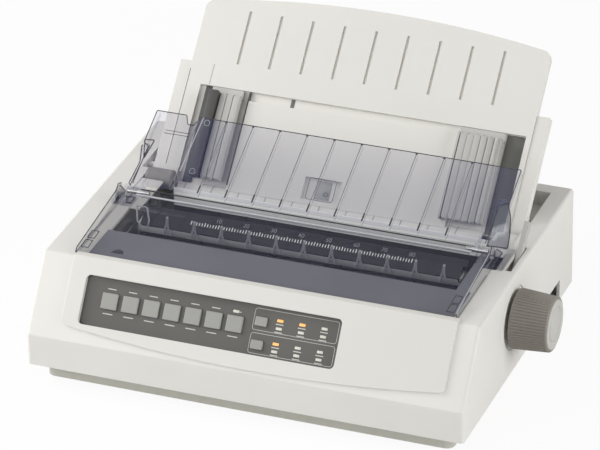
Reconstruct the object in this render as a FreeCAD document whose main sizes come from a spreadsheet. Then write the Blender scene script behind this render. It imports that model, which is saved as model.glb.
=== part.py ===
import FreeCAD, Part
import Sketcher
import math
import os
import types

# Dot matrix printer with a tinted front cover, a tinted paper flap and a tilted paper separator.
# Lengths are millimetres, angles are degrees.
# Places are counted in the case frame: x from the middle of the shell towards the knob,
# y from the front face of the shell to the back, z up from the floor. The finished pieces are
# then shifted so that the row's origin is the middle of the whole footprint.

doc = FreeCAD.newDocument("DotMatrixPrinter")
sheet = doc.addObject("Spreadsheet::Sheet", "Sizes")

CASE_SIZES = {
    "shell_width": 397.44, "rear_room": 86.4, "shell_low": 17.82, "band_top": 47.196,
    "slope_top_y": 42.768, "cheek_front": 107.46, "cheek_rear": 110.376, "shell_wall": 2.7,
    "shell_round": 3.24, "base_side_inset": 13.284, "base_front_inset": 10.26, "base_rear_inset": 10.26,
    "foot_height": 3.78, "foot_radius": 9.72, "foot_inset_x": 36.72, "foot_inset_y": 32.4,
    "base_wall": 2.7, "flange_thick": 2.7, "case_gap": 0.324, "base_round": 7.56, "boss_radius": 4.32,
    "boss_inset": 4.86, "boss_front_y": 32.4, "boss_rear_inset": 25.92, "screw_radius": 1.62,
    "screw_bite": 10.8, "screw_head_radius": 3.24, "screw_head_high": 2.16, "bay_middle": 2.7,
    "cheek_wide": 19.44, "bay_front": 93.96, "bay_rear_inset": 15.12, "bay_skirt": 13.5,
    "shelf_left": 18.9, "shelf_right": 21.06, "shelf_rear": 137.16, "strip_left": 7.56,
    "strip_right": 2.16, "strip_rear": 210.6, "overrun": 5.4, "touch_gap": 0.324, "pin_gap": 0.054,
    "works_middle": 5.4, "vent_count": 14.0, "vent_pitch": 9.72, "vent_width": 4.32, "vent_low": 66.96,
    "vent_high": 90.72, "vent_start": -10.8,
}
PANEL_SIZES = {
    "bezel_thick": 1.944, "bezel_left": 168.048, "bezel_right": 178.956, "bezel_low_side": 14.04,
    "bezel_bow": 10.8, "bezel_lip": 4.752, "bezel_round": 4.32, "window_left": 153.9,
    "window_right": 79.92, "window_low": 16.74, "window_high": 59.94, "window_cut": 10.8,
    "collar_depth": 2.7, "collar_wall": 2.16, "plate_thick": 2.16, "button_wide": 14.688,
    "button_tall": 14.364, "button_pitch": 19.116, "button_first": -129.924, "button_row": 40.284,
    "button_proud": 2.16, "button_gap": 0.27, "button_rim": 1.08, "button_rim_thick": 1.296,
    "button_stem": 2.7, "button_stem_long": 3.24, "button_edge": 0.864, "small_wide": 10.8,
    "small_tall": 8.208, "small_x": 7.938, "small_upper": 46.17, "small_lower": 26.136,
    "light_wide": 5.4, "light_tall": 2.376, "light_high": 0.432, "light_first": 24.3,
    "light_pitch": 19.98, "single_light_x": -15.984, "single_light_row": 51.084, "light_row_a": 49.464,
    "light_row_b": 42.66, "light_row_c": 29.484, "light_row_d": 22.896, "board_drop": 7.992,
    "board_thick": 1.728, "post_radius": 2.7, "post_inset": 4.86, "switch_side": 6.48,
    "switch_high": 1.62,
}
FRAME_SIZES = {
    "works_inset": 22.68, "frame_thick": 2.16, "tray_front": 32.4, "tray_rear": 211.68,
    "tray_rise": 3.78, "tray_thick": 1.62, "tray_spread": 3.24, "standoff_radius": 5.4,
    "standoff_inset": 8.64, "frame_top": 95.04, "frame_front_high": 54.0, "frame_step_y": 64.8,
    "frame_step_high": 64.8, "frame_top_front": 102.6, "frame_top_rear": 178.2, "frame_rear_high": 54.0,
    "platen_y": 132.84, "platen_z": 68.04, "bush_radius": 8.64, "bush_flange": 10.8,
    "bush_flange_thick": 2.16, "bush_proud": 0.54, "rod_radius": 5.4, "rod_y": 86.4, "rod_z": 41.04,
    "rail_front": 35.64, "rail_wide": 6.48, "rail_high": 3.24, "slide_gap": 0.324,
}
PLATEN_SIZES = {
    "roll_inset": 16.2, "roll_radius": 20.52, "roll_core": 16.2, "roll_core_wall": 2.16,
    "roll_shaft": 4.32, "knob_gap": 2.16, "knob_length": 34.56, "knob_radius": 26.46,
    "knob_tip_radius": 24.408, "knob_wall": 2.7, "knob_hub": 8.64, "knob_cap_radius": 22.14,
    "knob_cap_thick": 2.16, "knob_cap_ring": 15.12, "knob_cap_proud": 0.648, "knob_recess": 28.62,
    "knob_recess_deep": 1.08, "shaft_hole": 6.48, "tooth_module": 1.08, "gear_thick": 5.4,
    "gear_gap": 6.48, "platen_teeth": 48.0, "idler_teeth": 30.0, "pinion_teeth": 12.0,
    "gear_backlash": 0.162, "idler_direction": -30.0, "pinion_direction": -10.0, "stud_radius": 3.24,
    "pinion_shaft": 2.7, "feed_motor_radius": 21.6, "feed_motor_long": 27.0, "shaft_depth": 8.64,
    "motor_hole": 4.32, "pan_gap": 1.728, "pan_thick": 1.296, "pan_front_angle": -130.0,
    "pan_rear_angle": 25.0,
}
CARRIAGE_SIZES = {
    "cartridge_side_gap": 2.16, "carriage_half": 32.4, "carriage_low": 50.76, "carriage_thick": 3.24,
    "carriage_front": 36.72, "carriage_rear": 103.68, "hub_half": 19.44, "hub_reach": 9.72,
    "cheek_thick": 4.32, "cheek_y": 64.8, "cheek_long": 30.24, "head_half": 18.36, "head_front": 69.12,
    "head_rear": 96.66, "head_high": 19.44, "fin_count": 5.0, "fin_wide": 2.16, "fin_deep": 5.4,
    "nose_half": 8.64, "nose_tip": 111.24, "nose_low": 60.48, "cartridge_half": 45.36,
    "cartridge_front": 51.84, "cartridge_rear": 97.2, "cartridge_thick": 14.04, "arm_near": 15.12,
    "arm_wide": 5.4, "arm_low": 64.8, "ribbon_knob_radius": 8.64, "ribbon_knob_high": 4.86,
    "ribbon_knob_x": 27.0, "ribbon_knob_y": 66.96, "ribbon_pin": 2.16, "ribbon_pin_deep": 6.48,
    "space_motor_radius": 19.44, "space_motor_high": 25.38, "pulley_y": 54.0, "pulley_inset": 20.52,
    "pulley_radius": 8.64, "pulley_flange": 10.8, "pulley_low": 39.42, "pulley_high": 8.64,
    "pulley_flange_thick": 0.756, "belt_thick": 1.296, "belt_high": 6.48, "clip_half": 12.96,
    "clip_thick": 1.512, "gap_lever_thick": 3.24, "gap_lever_hub": 9.18, "gap_lever_long": 43.2,
    "gap_lever_wide": 6.48, "gap_lever_knob": 5.4,
}
BAIL_SIZES = {
    "bail_bar_y": 125.82, "bail_bar_z": 94.392, "bail_bar_radius": 2.16, "bail_roller_radius": 6.48,
    "bail_roller_long": 15.12, "bail_roller_pitch": 64.8, "bail_pivot_y": 156.6, "bail_pivot_z": 84.24,
    "bail_pin": 2.7, "bail_arm_wide": 4.86, "bail_arm_thick": 2.16, "bail_arm_in": 7.56,
    "scale_y": 127.44, "scale_z": 105.3, "scale_wide": 12.96, "scale_thick": 1.296, "scale_tilt": 30.0,
}
COVER_SIZES = {
    "cover_thick": 2.16, "hinge_y": 142.56, "hinge_z": 122.04, "hinge_pin": 2.16, "hinge_disc": 4.104,
    "barrel_radius": 3.78, "ear_thick": 4.32, "ear_step": 4.968, "ear_inset": 12.96, "pin_in": 5.184,
    "cover_front_y": 48.06, "cover_front_z": 112.536, "cover_rear_y": 140.94, "cover_rear_z": 124.2,
    "cover_front_lean": 1.08, "cover_rear_inset": 4.86, "cover_front_inset": 5.94,
    "cover_rear_lean": 2.7, "flap_low_inset": 12.312, "cover_notch_front": 131.76,
    "cover_skirt_rear": 136.62, "cover_ear_front": 126.36, "cover_ear_low": 118.26, "rib_middle": 3.456,
    "cover_rib_pitch": 25.38, "cover_rib_count": 11.0, "cover_rib_front": 103.68,
    "cover_rib_deep": 3.78, "cover_rib_thick": 1.296, "cover_rib_drop": 3.24, "cover_side_wall": 2.592,
    "cover_web_thick": 1.728, "stand_front": 137.592, "stand_rear": 169.56, "stand_spread": 0.864,
    "stand_rear_high": 4.32, "flap_angle": 26.5, "flap_low": 7.02, "flap_high": 87.48,
    "flap_top": 1.944, "flap_thick": 2.16, "flap_inset": 9.828, "flap_step_low": 43.2,
    "flap_step_high": 51.84, "flap_tab_in": 28.08, "flap_notch_in": 32.4, "flap_notch_far": 37.8,
    "flap_notch_end": 42.12, "flap_notch_deep": 9.72, "flap_ear_reach": 12.96, "flap_rib_pitch": 25.38,
    "flap_rib_count": 11.0, "flap_rib_high": 2.7, "flap_rib_long": 79.92, "flap_rib_thick": 1.296,
    "flap_lip": 5.4,
}
SEPARATOR_SIZES = {
    "separator_angle": 46.0, "separator_back": 75.276, "separator_z": 107.244, "separator_middle": 4.86,
    "panel_inset": 11.232, "separator_low": -15.12, "separator_corner": 156.276,
    "separator_crown": 12.96, "separator_round": 8.64, "separator_base": 3.24, "separator_field": 3.24,
    "field_low": 77.76, "centre_high": 69.12, "centre_left": 95.904, "centre_right": 108.864,
    "recess_left": 143.64, "recess_right": 162.0, "groove_count": 9.0, "groove_pitch": 29.916,
    "groove_low": 101.088, "groove_high": 151.2, "groove_wide": 2.7, "groove_deep": 2.16,
    "grip_left": 25.92, "grip_right": 8.64, "grip_low": -10.8, "grip_high": 9.72, "grip_deep": 2.7,
    "wing_inset": 6.048, "wing_high": 97.956, "wing_front": 5.4, "wing_back": 4.32, "wing_gap": 0.324,
    "beam_high": 21.6, "beam_upper_low": 77.76, "beam_upper_high": 92.88, "pivot_drop": 5.4,
    "pivot_pin": 3.24, "pivot_arm_high": 8.64, "pivot_arm_low": 6.48, "pivot_arm_deep": 10.26,
    "pivot_bite": 2.16, "guide_top": 71.28, "guide_low": -8.64, "guide_plate": 1.728,
    "guide_lift": 0.324, "guide_left_out": 130.68, "guide_left_in": 101.52, "guide_right_in": 102.6,
    "guide_right_out": 143.64, "guide_rib_high": 4.32, "guide_rib_thick": 1.728,
    "guide_fence_high": 8.64, "guide_rib_pitch": 7.128, "guide_tab_long": 6.912,
}
LEVER_SIZES = {
    "lever_inset": 8.64, "lever_thick": 4.32, "lever_pivot_y": 141.48, "lever_pivot_z": 81.0,
    "lever_angle": 42.0, "lever_long": 69.552, "lever_wide": 7.02, "lever_hub": 6.48, "lever_pin": 3.24,
    "lever_tip_wide": 8.64, "lever_tip_long": 15.12, "slot_front": 139.32, "slot_rear": 183.06,
    "slot_gap": 0.864, "recess_front": 222.48, "recess_rear": 259.2, "recess_high": 38.34,
    "switch_front": 227.88, "switch_rear": 253.8, "switch_top": 36.72, "switch_deep": 14.58,
    "switch_inset": 5.94, "rocker_inset": 3.24, "rocker_half": 9.72, "rocker_deep": 3.24,
    "rocker_end": 5.4, "rocker_dip": 3.672, "rocker_tilt": 8.0, "rocker_margin": 2.484,
    "rocker_pin": 1.62, "rocker_pin_long": 1.62, "rocker_play": 1.62,
}
ELECTRIC_SIZES = {
    "card_side_inset": 36.72, "core_gap": 6.48, "card_gap": 4.32, "card_rear_gap": 12.96,
    "card_rise": 12.96, "card_thick": 1.728, "card_post": 4.32, "card_post_inset": 7.56,
    "socket_start": 72.36, "socket_wide": 60.48, "socket_long": 20.52, "socket_high": 14.04,
    "socket_proud": 1.62, "socket_rim": 3.24, "socket_deep": 6.48, "inlet_inset": 71.28,
    "inlet_wide": 30.24, "inlet_low": 25.92, "inlet_high": 47.52, "inlet_long": 23.76,
    "inlet_rim": 3.24, "inlet_deep": 17.28, "inlet_pin": 1.728, "inlet_pin_spread": 6.48,
    "core_wide": 62.64, "core_inset": 28.08, "core_front_gap": 3.24, "core_rear_gap": 29.16,
    "core_high": 47.52, "coil_inset": 9.72, "coil_proud": 4.32, "sink_start": 97.2, "sink_wide": 64.8,
    "sink_inset": 6.48, "sink_deep": 17.28, "sink_high": 25.92, "chip_wide": 32.4, "chip_deep": 12.96,
    "chip_high": 4.32, "chip_count": 5.0, "chip_start": 10.8, "chip_end": 38.88, "chip_inset": 32.4,
}


def fill_sheet():
    """Writes every driving dimension to its own cell and gives the cell its name."""
    groups = (CASE_SIZES, PANEL_SIZES, FRAME_SIZES, PLATEN_SIZES, CARRIAGE_SIZES, BAIL_SIZES,
              COVER_SIZES, SEPARATOR_SIZES, LEVER_SIZES, ELECTRIC_SIZES)
    named = {}
    row = 1
    for group in groups:
        for name, number in group.items():
            sheet.set("A" + str(row), name)
            sheet.set("B" + str(row), str(number))
            sheet.setAlias("B" + str(row), name)
            named[name] = Size(number, "Sizes." + name)
            row += 1
    doc.recompute()
    return types.SimpleNamespace(**named)


class Size:
    """A length or an angle: its number, and the sheet expression that gives it."""

    def __init__(self, number, words):
        self.number = number
        self.words = words

    def __add__(self, other):
        other = as_size(other)
        return Size(self.number + other.number, "(" + self.words + " + " + other.words + ")")

    def __sub__(self, other):
        other = as_size(other)
        return Size(self.number - other.number, "(" + self.words + " - " + other.words + ")")

    def __mul__(self, other):
        other = as_size(other)
        return Size(self.number * other.number, "(" + self.words + " * " + other.words + ")")

    def __truediv__(self, other):
        other = as_size(other)
        return Size(self.number / other.number, "(" + self.words + " / " + other.words + ")")

    def __neg__(self):
        return Size(-self.number, "(0 - " + self.words + ")")


def as_size(value):
    """Leaves a Size as it is and turns a plain number, such as zero or a count, into one."""
    return value if isinstance(value, Size) else Size(float(value), repr(float(value)))


def sine(angle):
    return Size(math.sin(math.radians(angle.number)), "sin(" + angle.words + ")")


def cosine(angle):
    return Size(math.cos(math.radians(angle.number)), "cos(" + angle.words + ")")


def root(value):
    return Size(math.sqrt(value.number), "sqrt(" + value.words + ")")


def angle_of(rise, run):
    return Size(math.degrees(math.atan(rise.number / run.number)),
                "atan(" + rise.words + " / " + run.words + ")")


def bind(thing, field, value):
    thing.setExpression(field, as_size(value).words)


def bind_base(thing, place):
    for axis, value in zip("xyz", place):
        bind(thing, "Placement.Base." + axis, value)


def box(low, high):
    """A block between two corners."""
    thing = doc.addObject("Part::Box", "Block")
    for field, start, end in zip(("Length", "Width", "Height"), low, high):
        bind(thing, field, as_size(end) - start)
    bind_base(thing, low)
    return thing


AXIS_TURNS = {
    "x": FreeCAD.Rotation(FreeCAD.Vector(0, 1, 0), 90),
    "y": FreeCAD.Rotation(FreeCAD.Vector(1, 0, 0), -90),
    "z": FreeCAD.Rotation(),
}


def rod(axis, start, end, radius, across):
    """A round bar along an axis, from start to end; across holds its two other places."""
    thing = doc.addObject("Part::Cylinder", "Bar")
    thing.Placement = FreeCAD.Placement(FreeCAD.Vector(), AXIS_TURNS[axis])
    bind(thing, "Radius", radius)
    bind(thing, "Height", as_size(end) - start)
    place = {"x": (start, across[0], across[1]), "y": (across[0], start, across[1]),
             "z": (across[0], across[1], start)}[axis]
    bind_base(thing, place)
    return thing


def taper(start, end, radius_start, radius_end, across):
    """A cone along x between two places."""
    thing = doc.addObject("Part::Cone", "Taper")
    thing.Placement = FreeCAD.Placement(FreeCAD.Vector(), AXIS_TURNS["x"])
    bind(thing, "Radius1", radius_start)
    bind(thing, "Radius2", radius_end)
    bind(thing, "Height", as_size(end) - start)
    bind_base(thing, (start, across[0], across[1]))
    return thing


def join(*things):
    """One solid from several that touch or overlap."""
    if len(things) == 1:
        return things[0]
    thing = doc.addObject("Part::MultiFuse", "Joined")
    thing.Shapes = list(things)
    return thing


def cut(base, *tools):
    thing = doc.addObject("Part::Cut", "Trimmed")
    thing.Base = base
    thing.Tool = join(*tools)
    return thing


def overlap(first, second):
    thing = doc.addObject("Part::MultiCommon", "Shared")
    thing.Shapes = [first, second]
    return thing


def draw(sketch, points):
    """Draws a closed outline and ties each corner to its two named places.

    A point with a third value starts an arc that bulges to the right of the way to the next
    point by that much.
    """
    count = len(points)
    corners = [FreeCAD.Vector(as_size(p[0]).number, as_size(p[1]).number, 0) for p in points]
    ends = []
    for index in range(count):
        start = corners[index]
        end = corners[(index + 1) % count]
        if len(points[index]) == 3:
            way = end - start
            side = FreeCAD.Vector(way.y, -way.x, 0).normalize()
            middle = (start + end) * 0.5 + side * points[index][2].number
            arc = Part.Arc(start, middle, end)
            sketch.addGeometry(arc, False)
            drawn = sketch.Geometry[index]
            forward = drawn.StartPoint.distanceToPoint(start) < drawn.EndPoint.distanceToPoint(start)
            ends.append((1, 2) if forward else (2, 1))
        else:
            sketch.addGeometry(Part.LineSegment(start, end), False)
            ends.append((1, 2))
    for index in range(count):
        following = (index + 1) % count
        sketch.addConstraint(Sketcher.Constraint("Coincident", index, ends[index][1],
                                                 following, ends[following][0]))
    for index, point in enumerate(points):
        tie_corner(sketch, index, ends[index][0], point)
        if len(point) == 3:
            tie_bulge(sketch, index, point, points[(index + 1) % count])


def tie_corner(sketch, index, corner, point):
    for kind, other_axis, value in (("DistanceX", -2, point[0]), ("DistanceY", -1, point[1])):
        value = as_size(value)
        if value.number == 0:
            sketch.addConstraint(Sketcher.Constraint("PointOnObject", index, corner, other_axis))
        else:
            held = sketch.addConstraint(Sketcher.Constraint(kind, -1, 1, index, corner, value.number))
            sketch.setExpression("Constraints[" + str(held) + "]", value.words)


def tie_bulge(sketch, index, point, following):
    across = as_size(following[0]) - point[0]
    along = as_size(following[1]) - point[1]
    bulge = point[2]
    radius = (across * across + along * along) / (bulge * 8) + bulge / 2
    held = sketch.addConstraint(Sketcher.Constraint("Radius", index, radius.number))
    sketch.setExpression("Constraints[" + str(held) + "]", radius.words)


PLANE_TURNS = {
    "xy": FreeCAD.Rotation(),
    "yz": FreeCAD.Rotation(FreeCAD.Vector(1, 1, 1), 120),
    "xz": FreeCAD.Rotation(FreeCAD.Vector(1, 0, 0), 90),
}
PLANE_AXIS = {"xy": "z", "yz": "x", "xz": "y"}


def outline(plane, level, points):
    """A sketch on a plane parallel to two axes, at a level along the third."""
    sketch = doc.addObject("Sketcher::SketchObject", "Outline")
    sketch.Placement = FreeCAD.Placement(FreeCAD.Vector(), PLANE_TURNS[plane])
    bind(sketch, "Placement.Base." + PLANE_AXIS[plane], level)
    draw(sketch, points)
    return sketch


def prism(plane, start, end, points):
    """An outline carried straight along the third axis from start to end."""
    thing = doc.addObject("Part::Extrusion", "Prism")
    thing.Base = outline(plane, start, points)
    thing.DirMode = "Custom"
    thing.Dir = {"xy": FreeCAD.Vector(0, 0, 1), "yz": FreeCAD.Vector(1, 0, 0),
                 "xz": FreeCAD.Vector(0, 1, 0)}[plane]
    thing.Solid = True
    bind(thing, "LengthFwd", as_size(end) - start)
    return thing


def loft(first, second):
    thing = doc.addObject("Part::Loft", "Loft")
    thing.Sections = [first, second]
    thing.Solid = True
    thing.Ruled = True
    return thing


def rectangle(left, low, right, high):
    return [(left, low), (right, low), (right, high), (left, high)]


def pad_body(name, plane_role, points, length, both_ways=False):
    """A body whose first feature is an outline padded from one of its own origin planes."""
    body = doc.addObject("PartDesign::Body", name)
    sketch = body.newObject("Sketcher::SketchObject", name + "_outline")
    plane = [item for item in body.Origin.OriginFeatures if item.Role == plane_role][0]
    sketch.AttachmentSupport = [(plane, "")]
    sketch.MapMode = "FlatFace"
    draw(sketch, points)
    pad = body.newObject("PartDesign::Pad", name + "_pad")
    pad.Profile = sketch
    pad.SideType = "Symmetric" if both_ways else "One side"
    bind(pad, "Length", length)
    doc.recompute()
    return body


def add_step(body, plane_role, points, level, length, kind="PartDesign::Pad"):
    """Adds a pad or a pocket whose outline lies at a level above the body's own plane."""
    sketch = body.newObject("Sketcher::SketchObject", body.Name + "_step")
    plane = [item for item in body.Origin.OriginFeatures if item.Role == plane_role][0]
    sketch.AttachmentSupport = [(plane, "")]
    sketch.MapMode = "FlatFace"
    bind(sketch, "AttachmentOffset.Base.z", level)
    draw(sketch, points)
    before = body.Shape.Volume
    step = body.newObject(kind, body.Name + "_step_feature")
    step.Profile = sketch
    step.SideType = "One side"
    bind(step, "Length", length)
    if kind == "PartDesign::Pocket":
        step.Reversed = True
    doc.recompute()
    if math.isclose(body.Shape.Volume, before):
        raise ValueError("a step of " + body.Name + " changed nothing")
    return step


def round_edges(body, radius, wanted):
    """Rounds the edges of a body that the wanted test picks."""
    picked = []
    for index, edge in enumerate(body.Shape.Edges):
        if wanted(edge):
            picked.append("Edge" + str(index + 1))
    before = body.Shape.Volume
    rounded = body.Tip
    fillet = body.newObject("PartDesign::Fillet", body.Name + "_round")
    fillet.Base = (rounded, picked)
    bind(fillet, "Radius", radius)
    doc.recompute()
    if "Invalid" in fillet.State or math.isclose(body.Shape.Volume, before):
        raise ValueError("the edges of " + body.Name + " were not rounded")


def along_axis(edge, axis):
    """True for a straight edge that runs along the given axis."""
    way = edge.Vertexes[-1].Point - edge.Vertexes[0].Point
    lengths = {"x": abs(way.x), "y": abs(way.y), "z": abs(way.z)}
    own = lengths.pop(axis)
    return own > 0 and max(lengths.values()) < own * EDGE_SHARE


def work_out(sizes):
    """Adds the sizes that follow from others, such as what fits in the bay or behind the works."""
    sizes.shell_depth = sizes.tray_rear + sizes.rear_room
    sizes.boss_rear_y = sizes.shell_depth - sizes.boss_rear_inset
    sizes.bay_half = sizes.shell_width / 2 - sizes.cheek_wide
    sizes.bay_rear = sizes.shell_depth - sizes.bay_rear_inset
    sizes.works_half = sizes.bay_half - sizes.works_inset
    sizes.roll_half = sizes.works_half - sizes.roll_inset
    sizes.carriage_rest = sizes.works_half - sizes.cartridge_side_gap - sizes.cartridge_half
    sizes.pulley_half = sizes.works_half - sizes.pulley_inset
    sizes.ear_outer = sizes.bay_half - sizes.ear_inset
    sizes.cover_foot_front_half = sizes.bay_half - sizes.cover_front_inset
    sizes.cover_front_half = sizes.cover_foot_front_half - sizes.cover_front_lean
    sizes.cover_foot_rear_half = sizes.bay_half - sizes.cover_rear_inset
    sizes.cover_rear_half = sizes.cover_foot_rear_half - sizes.cover_rear_lean
    sizes.stand_outer = sizes.bay_half + sizes.stand_spread
    sizes.flap_half = sizes.bay_half - sizes.flap_inset
    sizes.flap_low_half = sizes.ear_outer - sizes.flap_low_inset
    sizes.wing_half = sizes.bay_half - sizes.wing_inset
    sizes.separator_half = sizes.wing_half - sizes.panel_inset
    sizes.separator_y = sizes.shell_depth - sizes.separator_back
    sizes.lever_x = sizes.shell_width / 2 - sizes.lever_inset
    sizes.switch_outer = sizes.shell_width / 2 - sizes.switch_inset
    sizes.switch_inner = sizes.switch_outer - sizes.switch_deep
    sizes.rocker_x = sizes.switch_outer - sizes.rocker_inset
    sizes.card_left = sizes.card_side_inset - sizes.shell_width / 2
    sizes.card_front = sizes.tray_rear + sizes.card_gap
    sizes.card_rear = sizes.shell_depth - sizes.card_rear_gap
    sizes.socket_front = sizes.shell_depth - sizes.socket_long
    sizes.inlet_front = sizes.shell_depth - sizes.inlet_long
    sizes.inlet_left = sizes.shell_width / 2 - sizes.inlet_inset
    sizes.inlet_right = sizes.inlet_left + sizes.inlet_wide
    sizes.core_right = sizes.shell_width / 2 - sizes.core_inset
    sizes.core_left = sizes.core_right - sizes.core_wide
    sizes.card_right = sizes.core_left - sizes.core_gap
    sizes.core_front = sizes.tray_rear + sizes.core_front_gap
    sizes.core_rear = sizes.shell_depth - sizes.core_rear_gap
    sizes.sink_front = sizes.card_front + sizes.sink_inset
    sizes.chip_front = sizes.card_front + sizes.chip_inset
    sizes.chip_first = sizes.card_left + sizes.chip_start
    sizes.sink_left = sizes.card_left + sizes.sink_start
    sizes.socket_left = sizes.card_left + sizes.socket_start
    sizes.socket_right = sizes.socket_left + sizes.socket_wide
    return sizes


EDGE_SHARE = 0.001
D = work_out(fill_sheet())

# Places that several pieces share.
HALF_WIDTH = D.shell_width / 2
SLOPE_RISE = D.cheek_front - D.band_top
SLOPE_LENGTH = root(D.slope_top_y * D.slope_top_y + SLOPE_RISE * SLOPE_RISE)
SLOPE_COSINE = D.slope_top_y / SLOPE_LENGTH
SLOPE_SINE = SLOPE_RISE / SLOPE_LENGTH
SLOPE_ANGLE = angle_of(SLOPE_RISE, D.slope_top_y)
FLANGE_TOP = D.shell_low + D.flange_thick
FLOOR_TOP = D.foot_height + D.base_wall
TRAY_LOW = FLOOR_TOP + D.tray_rise
TRAY_TOP = TRAY_LOW + D.tray_thick
FRAME_LEFT = D.works_middle - D.works_half
FRAME_RIGHT = D.works_middle + D.works_half
BAY_LEFT = D.bay_middle - D.bay_half
BAY_RIGHT = D.bay_middle + D.bay_half
BOSS_X = HALF_WIDTH - D.shell_wall - D.boss_inset
PLATEN = (D.platen_y, D.platen_z)
ROD = (D.rod_y, D.rod_z)
HINGE = (D.hinge_y, D.hinge_z)
PULLEY_LEFT = D.works_middle - D.pulley_half
PULLEY_RIGHT = D.works_middle + D.pulley_half
CARRIAGE_X = D.works_middle - D.carriage_rest
SEPARATOR_COSINE = cosine(D.separator_angle)
SEPARATOR_SINE = sine(D.separator_angle)
SEPARATOR_TOP = D.separator_corner + D.separator_crown
ORIGIN_X = -(D.knob_gap + D.knob_length) / 2
ORIGIN_Y = -(D.separator_y + SEPARATOR_TOP * SEPARATOR_COSINE) / 2

nodes = {}


def node(name, things, place=(0, 0, 0), tilt=None):
    """Names a finished piece, tilts it about x if asked, and sets it in the row's frame."""
    held = doc.addObject("Part::Compound", "Piece")
    held.Links = things if isinstance(things, list) else [things]
    held.Label = name
    held.Placement = FreeCAD.Placement(FreeCAD.Vector(), FreeCAD.Rotation(FreeCAD.Vector(1, 0, 0), 1))
    bind(held, "Placement.Rotation.Angle", as_size(0) if tilt is None else tilt)
    shifted = (ORIGIN_X + place[0], ORIGIN_Y + place[1], as_size(place[2]))
    bind_base(held, shifted)
    nodes[name] = held
    return held


def top_at(place):
    """Height of the shell's gently rising top at a distance from the front."""
    rise = (D.cheek_rear - D.cheek_front) / (D.shell_depth - D.slope_top_y)
    return D.cheek_front + (as_size(place) - D.slope_top_y) * rise


def slope_box(low, high):
    """A block laid on the front slope: x across, then up the slope, then out of it."""
    thing = doc.addObject("Part::Box", "SlopeBlock")
    for field, start, end in zip(("Length", "Width", "Height"), low, high):
        bind(thing, field, as_size(end) - start)
    thing.Placement = FreeCAD.Placement(FreeCAD.Vector(), FreeCAD.Rotation(FreeCAD.Vector(1, 0, 0), 1))
    bind(thing, "Placement.Rotation.Angle", SLOPE_ANGLE)
    up = as_size(low[1])
    out = as_size(low[2])
    bind_base(thing, (low[0], up * SLOPE_COSINE - out * SLOPE_SINE,
                      D.band_top + up * SLOPE_SINE + out * SLOPE_COSINE))
    return thing


def slope_node(name, things):
    node(name, things, (0, 0, D.band_top), SLOPE_ANGLE)


def separator_node(name, things):
    node(name, things, (0, D.separator_y, D.separator_z), D.separator_angle)


def flap_node(name, things):
    node(name, things, (0, D.hinge_y, D.hinge_z), D.flap_angle)


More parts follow.
